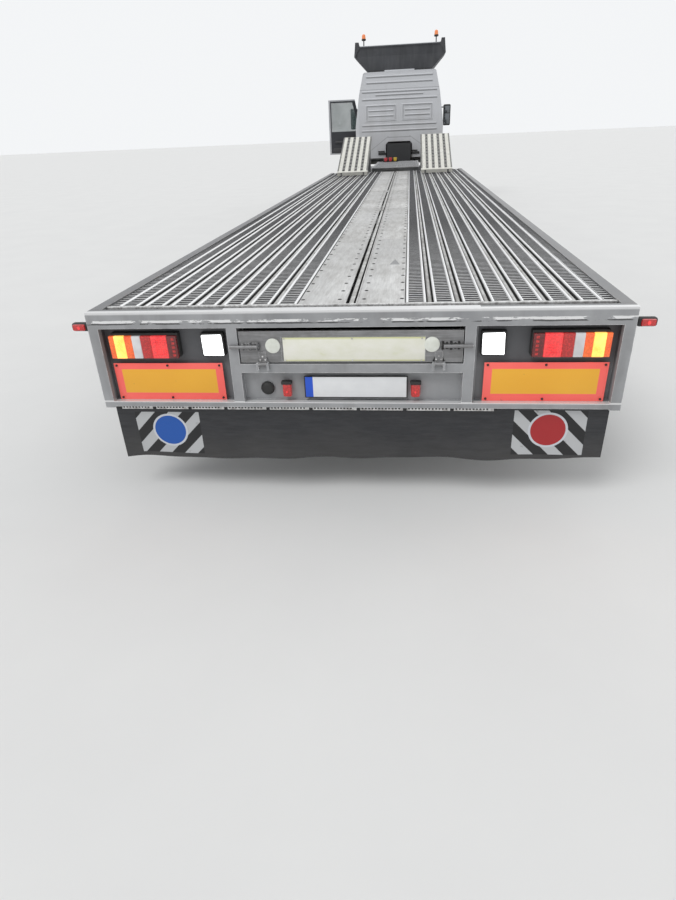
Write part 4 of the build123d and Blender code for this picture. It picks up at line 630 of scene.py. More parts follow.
plate_inner, plate_outer, plate_gap, hole_pitch = 0.024, 0.258, 0.002, 0.175
seams = [deck_rear, 2.05, 4.1, 6.15, 8.2, deck_end]
plates = Piece("centre_plates_dressed")
holes = []
for side in (-1, 1):
    for start, stop in zip(seams, seams[1:]):
        start += plate_gap
        stop -= plate_gap
        plates.box((plate_inner, start, band_top - 0.006), (plate_outer, stop, band_top), plate_metal,
                   0.0015, side)
        plates.box((plate_inner, start, band_top), (plate_inner + 0.006, stop, band_top + 0.004),
                   plate_metal, 0.001, side)
    holes += [(side * row_x, deck_rear + 0.1 + hole_pitch * n, band_top + 0.0004)
              for row_x in (0.060, 0.244) for n in range(58)]
plates.take(rounds(holes, 0.0105, 0.0009, 12, hole_shade))
plates.box((-0.011, deck_rear, plank_low + 0.004), (0.011, deck_end, band_top - 0.007), gutter_metal, 0.002)
plates.box((-plate_inner, deck_rear, plank_low), (plate_inner, deck_end, valley_top), valley_shade_and_dust)
plates.done("trailer", "aluminium_deck")


# Rear frame: a welded box of hollow sections, hot-dip galvanised and painted over in light grey.
# Loading has chipped a bright broken line along the end beam, and the edges have worn white.
# A slotted steel strip in short lengths is screwed over the flap, and a bright one ends the deck.
def cloudy_metal(name, scale, dark, pale, change, roughness, metallic=0.5, spread=None):
    """Metal of two tones in small patches, whose roughness changes with them."""
    metal = Finish(name)
    cloud = metal.noise(scale, 4, 0.65)
    share = cloud.between(*spread) if spread else cloud
    return metal.done(metal.mix(share, dark, pale), cloud * change + roughness, metallic)


paint = Finish("frame_face")
x, y, z = paint.axes()
cloud = paint.noise(3.2, 5, 0.6)
runs = paint.noise(9, 4, stretch=(1, 1, 0.15))
broken = paint.noise(7, 5, 0.72, stretch=(1, 1, 3))
on_beam = (y < 0.02) * (z > 0.93)
chip_z = z + broken * 0.012
chip_line = chip_z.inside(0.954, 0.967) * broken.between(0.46, 0.50) * on_beam
chip_shade = chip_z.inside(0.946, 0.954) * broken.between(0.46, 0.50) * on_beam
top_wear = (z.between(0.986, 0.993) + z.inside(0.536, 0.545) * (y < 0.03)).clamped()
edge_wear = paint.edges(0.005).between(0.02, 0.14) * paint.noise(22, 4, 0.65).between(0.33, 0.55)
bright = (chip_line + top_wear * 0.8 + edge_wear * 0.9).clamped()
# Painted shade: the lamp recesses and the sheet set back beyond y 0.062 are darkened, and a dark painted
# shadow runs under the chipped line.
lamp_recess_shade = (y > 0.032) * (abs(x) > 0.6) * (z.between(0.70, 0.76) * 0.35 + 0.45)
tone = paint.coats(paint.mix(cloud.between(0.3, 0.7), (0.27, 0.275, 0.285), (0.40, 0.405, 0.415)),
                   (runs.between(0.5, 0.8) * 0.5, (0.17, 0.165, 0.16)),
                   (chip_shade * 0.85, (0.05, 0.05, 0.05)), (bright, (0.83, 0.83, 0.83)),
                   (lamp_recess_shade, (0.040, 0.041, 0.047)), ((y > 0.062) * 0.8, (0.07, 0.07, 0.072)))
dress(paint.done(tone, runs * 0.2 + 0.32, bright * 0.4,
                 (paint.noise(70, 4) * 0.4 - bright * 0.8, 0.0012, 0.4)), "rear_frame")

black_steel = cloudy_metal("black_steel", 30, (0.018, 0.018, 0.019), (0.06, 0.058, 0.055), 0.3, 0.35)
pale_metal = cloudy_metal("pale_metal", 40, (0.42, 0.41, 0.40), (0.84, 0.84, 0.83), 0.2, 0.32, 0.45,
                          (0.35, 0.6))
backward = (math.pi / 2, 0, 0)
strip_ends = (-1.205, -1.02, -0.83, -0.64, -0.42, -0.2, 0.04, 0.27, 0.5, 0.71)
strip_z, slot_pitch = 0.500, 0.0165
trim = Piece("rear_trim")
trim.box((-deck_half, 0.116, 0.984), (deck_half, 0.129, 0.998), pale_metal, 0.002)
slots = []
for start, stop in zip(strip_ends, strip_ends[1:]):
    trim.box((start + 0.004, 0.0215, strip_z - 0.011), (stop - 0.014, 0.0255, strip_z + 0.011),
             pale_metal, 0.001)
    slot_count = int((stop - start - 0.03) / slot_pitch)
    slots += [(start + 0.016 + slot_pitch * n, 0.0213, strip_z) for n in range(slot_count)]
trim.take(rounds(slots, 0.0052, 0.0006, 10, hole_shade, backward))
strip_screws = [(end - 0.005, 0.020, strip_z) for end in strip_ends]
trim.take(rounds(strip_screws, 0.0078, 0.006, 6, black_steel, backward))
trim.done("trailer", "galvanised_frame")


# Hatch of the ramp store: a folded steel door, brushed by use, on two pin hinges. Two toggle
# latches pull it shut onto the posts, the left one worn bright. The long sign on it is a blank
# cream plate, aged at its edges and riveted, with a round white reflector at each side.
paint = Finish("hatch_paint")
brush = paint.noise(60, 4, 0.6, stretch=(0.12, 1, 1.5))
grime = (paint.noise(4.5, 5, 0.6) * 0.7 + paint.noise(26, 4) * 0.5).between(0.52, 0.9)
tone = paint.coats(paint.mix(brush.between(0.3, 0.7), (0.20, 0.20, 0.205), (0.33, 0.33, 0.335)),
                   (grime * 0.7, (0.13, 0.122, 0.115)),
                   (paint.edges(0.004).between(0.03, 0.15) * 0.7, (0.7, 0.7, 0.7)))
dress(paint.done(tone, grime * 0.3 + 0.34, 0.35, (brush, 0.0006, 0.4)), "hatch")

cream = Finish("cream_plate")
[z] = cream.axes("Z")
aged = cream.noise(9, 5, 0.65, stretch=(1, 1, 2))
aging = (z.between(0.764, 0.755) + z.between(0.858, 0.869) + aged.between(0.62, 0.8) * 0.5).clamped()
tone = cream.mix(aging * 0.75, cream.mix(aged.between(0.35, 0.7), (0.88, 0.87, 0.79), (0.80, 0.80, 0.66)),
                 (0.62, 0.63, 0.22))
cream_plate = cream.done(tone, 0.38, 0.0, (cream.noise(60, 3), 0.0004, 0.25))
disc = Finish("white_disc")
tone = disc.mix(disc.noise(30, 4).between(0.3, 0.7), (0.72, 0.74, 0.66), (0.84, 0.86, 0.80))
white_disc = disc.done(tone, 0.3, Coat_Weight=0.4)
rubber = Finish("soft_black")
tone = rubber.mix(rubber.noise(25, 4), (0.012, 0.012, 0.013), (0.038, 0.037, 0.035))
soft_black = rubber.done(tone, 0.62, 0.0, (rubber.noise(220, 3), 0.0006, 0.5))
worn_steel = cloudy_metal("worn_steel", 55, (0.10, 0.10, 0.105), (0.46, 0.455, 0.45), 0.2, 0.34,
                          spread=(0.42, 0.66))

hatch_face, latch_z, catch_reach = 0.008, 0.829, 0.42
sign_left, sign_right, sign_low, sign_high = -0.3165, 0.3555, 0.754, 0.870
reflector = [(-0.0075, 0), (-0.0075, 0.031), (-0.006, 0.0355), (-0.003, 0.0365), (0.001, 0.0365),
             (0.001, 0)]
collar = ((-0.006, 0), (-0.006, 0.85), (0, 1), (0.006, 0.85), (0.006, 0))
fittings = Piece("hatch_fittings")
fittings.box((sign_left, 0.0028, sign_low), (sign_right, 0.0052, sign_high), cream_plate, 0.0008)
for disc_x, disc_z in ((-0.3665, 0.830), (0.387, 0.833)):
    fittings.turned(reflector, (disc_x, hatch_face, disc_z), "y", white_disc)
rivets = [(rivet_x, 0.0015, rivet_z) for rivet_x in (-0.31, 0.015, 0.34) for rivet_z in (0.759, 0.865)]
fittings.take(rounds(rivets, 0.0042, 0.0026, 10, pale_metal, backward))
for side, latch in ((-1, worn_steel), (1, black_steel)):
    spring = [(side * (0.438 + 0.006 * n), -0.003 - 0.007 * math.sin(n * 0.6), latch_z) for n in range(9)]
    fittings.tube(spring, 0.0105, latch, 12)
    for place, reach in ((0.436, 0.021), (0.455, 0.018), (0.474, 0.022), (0.493, 0.017), (0.510, 0.020)):
        fittings.turned([(side * (place + along), reach * share) for along, share in collar],
                        (0, 0.003, latch_z), "x", latch, 10)
    fittings.box((0.495, -0.006, latch_z - 0.005), (0.565, 0.003, latch_z + 0.005), latch, 0.002, side)
    catch_x = side * catch_reach
    fittings.prism([(catch_x - 0.012, 0.790), (catch_x + 0.012, 0.790), (catch_x + 0.030, 0.748),
                    (catch_x - 0.030, 0.748)], 0.0035, hatch_face, latch, 0.001)
    screws = [(catch_x + aside, 0.002, screw_z)
              for aside, screw_z in ((0, 0.778), (-0.012, 0.762), (0.012, 0.762))]
    fittings.take(rounds(screws, 0.0048, 0.003, 6, pale_metal, backward))
fittings.done("hatch", "galvanised_frame")


# Lamps: moulded lenses in black housings, screwed to the rear sheet, and lit as in the photo.
# A tail lamp shows orange, amber, orange, clear and three red chambers from the outside in. A
# reversing lamp stands beside it, with plate lamps below and outline lamps on rubber stalks.
def lens(name, tone, glow, lit_tone=None, pillows=130):
    """A coloured lens: its own tint, fine pillow ribs inside, and light from behind where it is lit."""
    plastic = Finish(name)
    pillow = plastic.cells(pillows) if pillows else plastic.noise(11, 2) * 0.6
    lit = plastic.mix(plastic.noise(18, 3).between(0.3, 0.75), lit_tone or tone, tone)
    colour = plastic.mix(pillow.between(0.1, 0.6), *shades(tone, 0.45)[::-1])
    return plastic.done(colour, 0.14, 0.0, (pillow, 0.0012, 0.4), Coat_Weight=0.8, Emission_Color=lit,
                        Emission_Strength=glow)


red_lens = lens("red_lens", (0.62, 0.022, 0.02), 0.25)
red_lit = lens("red_lit", (0.88, 0.022, 0.030), 0.55, (1.0, 0.10, 0.09))
red_dark = lens("red_dark", (0.24, 0.010, 0.012), 0.04)
red_orange = lens("red_orange", (0.90, 0.09, 0.02), 0.55, (1.0, 0.25, 0.03))
amber_lit = lens("amber_lit", (1.0, 0.42, 0.05), 1.5, (1.0, 0.62, 0.16))
clear_lens = lens("clear_lens", (0.80, 0.79, 0.80), 0.12, pillows=0)
white_lit = lens("white_lit", (0.94, 0.98, 1.0), 3.2, (1.0, 1.0, 1.0))
chambers = ((0.0, 0.075, red_orange), (0.075, 0.23, amber_lit), (0.23, 0.34, red_orange),
            (0.34, 0.47, clear_lens), (0.47, 0.62, red_lens), (0.62, 0.855, red_lit),
            (0.855, 1.0, red_dark))
tail_inner, tail_outer, tail_low, tail_high = 0.838, 1.182, 0.768, 0.892
lens_inner, lens_outer, lens_low, lens_high = 0.843, 1.188, 0.766, 0.880
lens_middle, lens_face = 0.823, 0.0105

lamps = Piece("rear_lamps_dressed")
lamps.pair((tail_inner, 0.026, tail_low), (tail_outer, 0.068, tail_high), soft_black, 0.006)
for start, stop, tint in chambers:
    near, far = [lens_outer - (lens_outer - lens_inner) * share for share in (start, stop)]
    lamps.pair((near, 0.011, lens_low), (far, 0.030, lens_high), tint, 0.0035)
lamps.pair((0.612, 0.030, 0.770), (0.728, 0.075, 0.888), soft_black, 0.008)
lamps.pair((0.293, 0.006, 0.563), (0.339, 0.032, 0.636), red_lens, 0.012)
lamps.pair((0.289, 0.002, 0.630), (0.343, 0.034, 0.648), soft_black, 0.006)
lamps.pair((1.287, 0.030, 0.899), (1.375, 0.068, 0.941), soft_black, 0.012)
lamps.pair((1.303, 0.0225, 0.904), (1.367, 0.040, 0.936), red_lens, 0.007)
dots = []
squares = []
for side in (-1, 1):
    lit_middle = side * (tail_outer - 0.74 * (tail_outer - tail_inner))
    dots += [(lit_middle + 0.011 * column, lens_face, lens_middle + 0.012 * row)
             for column in range(-2, 3) for row in range(-3, 4)]
    squares += [(side * (tail_inner + 0.024), lens_face, lens_middle + 0.020 * row)
                for row in range(-2, 3)]
    west = min(side * 0.612, side * 0.728)
    outline = [(west + 0.008, 0.776), (west + 0.110, 0.774), (west + 0.106, 0.880), (west + 0.006, 0.878)]
    lamps.prism(outline, 0.0235, 0.034, white_lit, 0.010)
    bulb = [(-0.006, 0), (-0.004, 0.004), (0.0, 0.0055), (0.001, 0)]
    lamps.turned(bulb, (side * 0.316, 0.007, 0.592), "y", red_lit, 12)
    lamps.tube([(side * 1.275, 0.045, 0.920), (side * 1.330, 0.045, 0.920)], 0.011, soft_black, 12)
    bulb = [(-0.003, 0), (-0.002, 0.008), (0.001, 0.010), (0.001, 0)]
    lamps.turned(bulb, (side * 1.335, 0.0235, 0.920), "y", red_lit, 12)
lamps.take(rounds(dots, 0.0042, 0.003, 8, red_lit, backward))
lamps.take(bars(squares, (0.014, 0.002, 0.012), red_lens))
lamps.done("trailer", "lamps", "rear_lamps")


# Marker plates and number plate: pressed aluminium under reflecting film. The markers are golden
# yellow with a coral red border, bolted along their edges. The number plate is blank, with a
# blue band, in a black holder.
film = Finish("marker_film")
x, z = film.axes("XZ")
fade = film.noise(3, 4)
golden_field = abs(x).inside(0.673, 1.162) * z.inside(0.577, 0.703)
scratch = film.noise(34, 5, 0.75, stretch=(1, 1, 0.4)).between(0.68, 0.72)
tone = film.coats(film.mix(fade, (0.86, 0.085, 0.075), (0.98, 0.17, 0.14)),
                  (golden_field, film.mix(fade, (0.74, 0.345, 0.016), (0.84, 0.44, 0.03))),
                  (scratch * 0.7, (0.25, 0.13, 0.05)))
# The film is given a faint glow of its own: painted light that stands in for its reflection.
marker_film = film.done(tone, 0.35, 0.0, (film.noise(300, 2), 0.0004, 0.3), Coat_Weight=0.3,
                        Emission_Color=tone, Emission_Strength=0.12)
film = Finish("plate_film")
[x] = film.axes("X")
cloud = film.noise(12, 4)
tone = film.mix(cloud, (0.72, 0.73, 0.74), (0.86, 0.87, 0.88))
tone = film.mix(x < -0.186, tone, (0.006, 0.085, 0.62))
plate_film = film.done(tone, 0.3, 0.0, (cloud, 0.0004, 0.2), Coat_Weight=0.3)

signs = Piece("rear_plates_dressed")
signs.pair((0.635, 0.0305, 0.540), (1.200, 0.0345, 0.735), marker_film, 0.0015)
signs.pair((0.639, 0.0345, 0.549), (1.196, 0.040, 0.731), soft_black)
marker_bolts = [(side * bolt_x, 0.0285, bolt_z) for side in (-1, 1) for bolt_x in (0.651, 0.9175, 1.184)
                for bolt_z in (0.552, 0.724)]
signs.take(rounds(marker_bolts, 0.0062, 0.004, 8, black_steel, backward))
signs.box((-0.230, 0.020, 0.556), (0.278, 0.032, 0.669), soft_black, 0.003)
signs.box((-0.224, 0.0175, 0.562), (0.272, 0.021, 0.667), plate_film, 0.0015)
grommet = [(-0.012, 0), (-0.012, 0.018), (-0.008, 0.027), (0.0, 0.034), (0.006, 0.034), (0.006, 0)]
signs.turned(grommet, (-0.418, 0.034, 0.601), "y", soft_black, 24)
signs.done("trailer", "plates", "rear_plates")


# Flap: one sheet of charcoal rubber over the full width, with shallow cracks and dust. A sticker
# near each end has black and pale slanting stripes round a blank disc, blue left and red right.
rubber = Finish("flap_rubber")
x, z = rubber.axes("XZ")
crack = rubber.noise(26, 5, 0.7, stretch=(0.4, 1, 2.6))
dust = (rubber.noise(2.5, 5) * 0.7 + z.between(0.40, 0.24) * 0.4).between(0.4, 1.0)
sticker_z = z - 0.348 - (x > 0) * 0.022
sticker = abs(x).inside(0.797, 1.143) * sticker_z.inside(-0.1205, 0.1205)
across = abs(x) - 0.970
stripes = (sticker_z + across + 0.0365).wrapped(0.146) > 0.073
above = sticker_z - 0.015
aside = across + 0.005
reach = (aside * aside + above * above) ** 0.5
blank_disc = reach < 0.084
worn = rubber.noise(20, 5, 0.7).between(0.62, 0.72)
pale_stripe = rubber.mix(worn, (0.50, 0.51, 0.52), (0.30, 0.30, 0.30))
tone = rubber.coats(rubber.mix(crack.between(0.35, 0.65), (0.020, 0.021, 0.024), (0.034, 0.035, 0.039)),
                    (dust * 0.45, (0.10, 0.095, 0.088)), (sticker * 0.85, (0.008, 0.008, 0.009)),
                    (sticker * stripes, pale_stripe), ((reach < 0.095) * sticker, (0.60, 0.62, 0.66)),
                    (blank_disc * (x < 0), (0.010, 0.095, 0.42)),
                    (blank_disc * (x > 0), (0.40, 0.018, 0.022)))
flap_rubber = rubber.done(tone, dust * 0.2 + 0.5 - sticker * 0.2, 0.0, (crack, 0.002, 0.5))
flap_reach, flap_top, flap_face, flap_thick = 1.238, 0.505, 0.030, 0.008
flap = Piece("rubber_flap_dressed")
bmesh.ops.create_cube(flap.mesh, size=1)
for cuts, axis in ((71, 0), (9, 2)):
    long_edges = [edge for edge in flap.mesh.edges
                  if abs(edge.verts[0].co[axis] - edge.verts[1].co[axis]) > 0.9]
    bmesh.ops.subdivide_edges(flap.mesh, edges=long_edges, cuts=cuts, use_grid_fill=True)
for corner in flap.mesh.verts:
    share_x, share_y, share_z = corner.co + Vector((0.5, 0.5, 0.5))
    foot = 0.196 + 0.034 * share_x + 0.004 * math.sin(share_x * 21) + 0.003 * math.sin(share_x * 47)
    hang = 1 - share_z
    curl = hang * hang * (0.010 * math.sin(share_x * 13 + 0.6) + 0.006 * math.sin(share_x * 31))
    corner.co = Vector((flap_reach * (2 * share_x - 1), flap_face + flap_thick * share_y + curl,
                        flap_top - hang * (flap_top - foot)))
flap.paint(flap.mesh.faces, flap_rubber)
flap.done("trailer", "rubber", "rubber_flap")


# Wheel ramps: folded steel trays at the front of the deck, which lift the load's front wheels.
# Cream paint is left on the raised bands on top and on the foot; punched rows and sides are dark.
ramp_centre, ramp_foot, ramp_axis_z, ramp_slope = 0.755, 9.230, 1.048, math.radians(20)
ramp_reach, ramp_half_thick, ramp_margin, hole_rows, holes_a_row = 1.57, 0.030, 0.06, 4, 11
band_pitch, band_width = 0.110, 0.060
paint = Finish("ramp_paint")
x, y = paint.axes("XY")
bands = (abs(abs(x) - ramp_centre) + band_width / 2).wrapped(band_pitch) < band_width
worn = paint.noise(24, 5, 0.7, stretch=(2.5, 0.5, 1)).between(0.56, 0.68)
on_top = paint.upward()
cream = (bands * on_top * (1 - worn * 0.75) + (y < ramp_foot + 0.012) * 0.9).clamped()
between_holes = paint.noise(33, 3, 0.6, stretch=(1.2, 1, 1)).between(0.45, 0.6) * on_top
tone = paint.mix(cream, paint.mix(between_holes, (0.11, 0.11, 0.105), (0.21, 0.208, 0.19)),
                 paint.mix(paint.noise(3, 4), (0.62, 0.61, 0.55), (0.78, 0.77, 0.71)))
dress(paint.done(tone, worn * 0.2 + 0.45, 0.1, (paint.noise(60, 4) + cream, 0.0012, 0.4)),
      "ramp_left", "ramp_right")
lift = ramp_half_thick + 0.0004
for side_name, side, hole_radius in (("left", -1, 0.022), ("right", 1, 0.017)):
    holes = []
    for row in range(hole_rows):
        for number in range(holes_a_row):
            along = ramp_margin + number * (ramp_reach - 2 * ramp_margin) / (holes_a_row - 1)
            holes.append((side * ramp_centre + (row - (hole_rows - 1) / 2) * band_pitch,
                          ramp_foot + along * math.cos(ramp_slope) - lift * math.sin(ramp_slope),
                          ramp_axis_z + along * math.sin(ramp_slope) + lift * math.cos(ramp_slope)))
    punched = Piece(f"ramp_holes_{side_name}")
    punched.take(rounds(holes, hole_radius, 0.0012, 20, hole_shade, (ramp_slope, 0, 0)))
    punched.done(f"ramp_{side_name}", "ramp")


# Cab: pressed steel panels in silver-grey paint over foam and trim, mounted to tilt. The back is
# stiffened by wide pressed ribs, two framed fields and an arch over the engine tunnel. Pale trim
# covers the inner faces, and rubber buffers with steel brackets stand out at the back.
silver_dark, silver_light, road_film = (0.53, 0.54, 0.565), (0.61, 0.62, 0.645), (0.27, 0.255, 0.235)
cab_middle, arch_foot, arch_top, arch_half_foot, arch_half_top = 15.4, 1.345, 1.570, 0.610, 0.285
ribs = ((2.865, 0.800), (2.740, 0.800), (2.550, 0.910), (2.480, 0.580), (2.390, 0.920), (1.828, 0.920),
        (1.705, 0.930))


def stroke(distance, half):
    """1 where the distance is nothing, fading to 0 at this half width."""
    return (1 - abs(distance) / half).clamped()


def silver(name, pressed=False, grille=False):
    """The cab's paint: silver-grey under clear coat, with a road film, and pale trim on inner faces."""
    paint = Finish(name)
    x, y, z = paint.axes()
    cloud = paint.noise(1.6, 5)
    streaks = paint.noise(8, 4, stretch=(1, 1, 0.1))
    facing_x, facing_y, facing_z = paint.split(paint.facing())
    inside = ((x * facing_x < -0.2) * (abs(facing_x) > 0.4)
              + (facing_y * (y - cab_middle) < -0.25) * (abs(facing_y) > 0.4)
              + (facing_z < -0.6) * (z > 1.2)).clamped()
    film = (cloud * 0.6 + streaks * 0.4 + z.between(2.6, 1.0) * 0.5).between(0.55, 1.3) * 0.55
    body = paint.mix(paint.noise(900, 1).between(0.35, 0.65), silver_dark, silver_light)
    height = paint.noise(3, 2) * 0.2
    if pressed:
        ridge = 0.0
        shade = 0.0
        for level, half in ribs:
            reach = abs(x) < half
            ridge = stroke(z - level, 0.024) * reach + ridge
            shade = stroke(z - level + 0.022, 0.016) * reach + shade
        shade = stroke(z - 2.592, 0.010) * (abs(x) < 0.985) + shade
        frame_reach = (abs(abs(x) - 0.4475) - 0.3675).larger(abs(z - 2.0875) - 0.1675)
        ridge = stroke(frame_reach, 0.022) + ridge
        shade = stroke(frame_reach + 0.016, 0.012) + shade
        for level in (2.032, 2.143):
            reach = abs(x).inside(0.140, 0.755)
            ridge = stroke(z - level, 0.020) * reach + ridge
            shade = stroke(z - level + 0.018, 0.014) * reach + shade
        rise = (z - arch_foot) / (arch_top - arch_foot)
        arch_away = abs(x) - (arch_half_foot - rise * (arch_half_foot - arch_half_top))
        shade = stroke(arch_away + 0.020, 0.016) * z.inside(arch_foot - 0.15, arch_top) + shade
        shade = stroke(z - arch_top + 0.024, 0.014) * (abs(x) < arch_half_top) + shade
        # Painted shade: a dark band under each rib, frame edge and arch edge, and along the step at the
        # seam, on faces that look back.
        body = paint.mix(shade.clamped() * (facing_y < -0.4) * 0.66, body, (0.13, 0.135, 0.145))
        height = ridge * (1 - inside) + height
    trim_tone = paint.mix(cloud, (0.40, 0.39, 0.37), (0.52, 0.51, 0.48))
    body = paint.coats(body, (film, road_film), (inside, trim_tone))
    if grille:
        field = (abs(x) < 0.588) * z.inside(0.992, 1.348) * (y > 16.47)
        body = paint.mix(field, body, (0.11, 0.112, 0.116))
        inside = (inside + field).clamped()
    relief = (height, 0.012, 0.7) if pressed else (height, 0.002, 0.2)
    return paint.done(body, film * 0.3 + inside * 0.35 + 0.30, (1 - inside) * 0.25, relief,
                      Coat_Weight=(1 - inside) * 0.5)


cab_silver = silver("cab_silver_paint")
dress(cab_silver, "cab_sides", "cab_roof")
dress(silver("cab_front_paint", grille=True), "cab_front")
dress(silver("cab_rear_paint", pressed=True), "cab_rear_wall")
paint = Finish("cab_silver")
[z] = paint.axes("Z")
film = (paint.noise(1.6, 5) * 0.6 + z.between(2.6, 1.0) * 0.6).between(0.4, 1.2) * 0.4
flakes = paint.noise(900, 1).between(0.35, 0.65)
tone = paint.mix(film, paint.mix(flakes, *shades((0.44, 0.45, 0.475), 0.92)), (0.30, 0.285, 0.26))
dress(paint.done(tone, film * 0.35 + 0.32, 0.25, Coat_Weight=0.5 - film * 0.5), "cab_floor")
trim = Piece("cab_outer_trim")
trim.box((-0.36, 14.475, 2.950), (0.36, 14.612, 2.995), cab_silver, 0.006)
trim.pair((0.36, 14.500, 2.935), (0.70, 14.618, 2.984), soft_black, 0.008)
trim.pair((0.31, 14.375, 1.150), (0.52, 14.402, 1.205), soft_black, 0.006)
for west in (-0.52, 0.31):
    trim.box((west, 14.360, 1.215), (west + 0.16, 14.402, 1.245), black_steel, 0.004)
trim.done("cab", "cab_paint")


# Doors and glass: steel doors in the same silver, with dark moulded trim on the face that looks
# into the cab. Their windows are tinted, and the screen in its seal is clearer.
hinge_x, hinge_y, swing = 1.102, 16.100, math.radians(80)


def door_silver(name, side, turn):
    """Door paint, with the trim on the inner face of a door that is swung by this turn."""
    paint = Finish(name)
    x, y, z = paint.axes()
    cloud = paint.noise(1.6, 5)
    inward = (-side * math.cos(turn), -math.sin(turn), 0)
    into = paint.node("VectorMath", paint.facing(), inward, operation="DOT_PRODUCT", output="Value")
    along = (x - side * hinge_x) * (side * math.sin(turn)) + (y - hinge_y) * -math.cos(turn)
    inside = into.between(0.35, 0.5) * (along < 0.812) * z.inside(1.190, 2.442)
    film = (cloud * 0.6 + z.between(2.2, 1.1) * 0.6).between(0.45, 1.2) * 0.5
    trim_tone = paint.mix(cloud, (0.034, 0.036, 0.042), (0.055, 0.057, 0.064))
    return paint.done(paint.coats(silver_light, (film, road_film), (inside, trim_tone)),
                      film * 0.3 + inside * 0.3 + 0.3, (1 - inside) * 0.25,
                      (paint.cells(500) * inside, 0.0006, 0.3), Coat_Weight=(1 - inside) * 0.5)


dress(door_silver("door_left_paint", -1, swing), "door_left")
dress(door_silver("door_right_paint", 1, 0), "door_right")
glass = Finish("door_glass")
film = glass.noise(3, 4).between(0.35, 0.75)
dress(glass.done(glass.mix(film, (0.10, 0.155, 0.15), (0.16, 0.20, 0.195)), 0.04, Alpha=film * 0.10 + 0.42,
                 Coat_Weight=1.0), "door_glass_left", "door_glass_right")
glass = Finish("screen_glass")
film = glass.noise(3, 4).between(0.35, 0.75)
dress(glass.done((0.10, 0.155, 0.15), 0.03, Alpha=film * 0.06 + 0.20, Coat_Weight=1.0), "windscreen")


# Roof deflector: a moulded shell of matte charcoal plastic on struts, pale along its top edge,
# with an amber beacon on a stalk at each side of its back.
shell = Finish("deflector_shell")
x, y, z = shell.axes()
cloud = shell.noise(2.6, 5)
streak = shell.noise(9, 4, stretch=(1, 1, 0.15)).between(0.45, 0.75)
pale_top = z.inside(3.508, 3.545) * (y < 14.66) * (abs(x) < 0.95)
tone = shell.coats(shell.mix(cloud.between(0.3, 0.7), (0.026, 0.028, 0.032), (0.050, 0.053, 0.060)),
                   (streak * 0.35, (0.10, 0.10, 0.105)),
                   (shell.edges(0.010).between(0.03, 0.2) * 0.35, (0.16, 0.165, 0.175)),
                   (pale_top * 0.95, (0.55, 0.57, 0.60)))
dress(shell.done(tone, cloud * 0.15 + 0.5, 0.0, (shell.cells(420), 0.0006, 0.25)), "deflector")
amber_dome = lens("amber_dome", (0.95, 0.24, 0.06), 0.35, (1.0, 0.36, 0.10))
socket = [(3.632, 0), (3.632, 0.030), (3.638, 0.050), (3.668, 0.052), (3.672, 0.046), (3.672, 0)]
dome = [(3.670, 0), (3.670, 0.0465), (3.700, 0.0455), (3.738, 0.042), (3.757, 0.033), (3.766, 0.018),
        (3.769, 0)]
beacons = Piece("beacons_dressed")
for beacon_x in (-0.865, 0.865):
    beacons.tube([(beacon_x, 14.700, 3.50), (beacon_x, 14.700, 3.645)], 0.0125, black_steel, 14)
    beacons.turned(socket, (beacon_x, 14.700, 0), "z", soft_black)
    beacons.turned(dome, (beacon_x, 14.700, 0), "z", amber_dome)
beacons.done("cab", "beacon", "beacons")


# Wheels: worn road tyres with grooves round the tread, sipes across it and lugs on the shoulders,
# on painted steel discs held by ten nuts each. The twin wheels of the drive axle share a hub.
def tyre_rubber(name, centre_y, rim_radius, radius):
    """Tyre rubber: grey road dust on the tread, darker walls with moulded rings round the axle."""
    rubber = Finish(name)
    y, z = rubber.axes("YZ")
    reach_y = y - centre_y
    reach_z = z - radius
    ring = (reach_y * reach_y + reach_z * reach_z) ** 0.5
    rings = (ring.wrapped(0.021) < 0.0035) * ring.inside(rim_radius, radius - 0.03)
    dust = rubber.noise(6, 5, 0.65)
    tread = (ring > radius - 0.0025) * 0.55
    tone = rubber.coats(rubber.mix(dust.between(0.3, 0.75), (0.020, 0.020, 0.021), (0.050, 0.048, 0.045)),
                        (tread * dust.between(0.2, 0.7), (0.155, 0.145, 0.13)),
                        (dust.between(0.5, 0.8) * 0.5, (0.11, 0.10, 0.088)))
    return rubber.done(tone, dust * 0.2 + 0.62, 0.0, (rings + rubber.noise(70, 3) * 0.3, 0.0015, 0.5))


def around(name, count, place, turn, centre, material, kind, **sizes):
    """The same small shape many times round an axle, `place` away from the wheel's centre."""
    ring = Growth(name)
    shape = ring.node(kind, **{key: ring.named(key, value) for key, value in sizes.items()})
    shape = ring.node("Transform", Geometry=shape, Rotation=(0, turn, 0),
                      Translation=ring.named("Place", place))
    step = ring.tree.nodes.new("ShaderNodeMath")
    step.operation = "MULTIPLY"
    step.inputs[1].default_value = 2 * math.pi / count
    ring.tree.links.new(ring.node("InputIndex"), step.inputs[0])
    turn = ring.tree.nodes.new("ShaderNodeCombineXYZ")
    ring.tree.links.new(step.outputs[0], turn.inputs["X"])
    spots = ring.node("MeshLine", Count=ring.named("Count", count), Offset=(0, 0, 0))
    return ring.grow([centre], ring.copies(ring.copies(shape, spots, turn.outputs[0])), material)


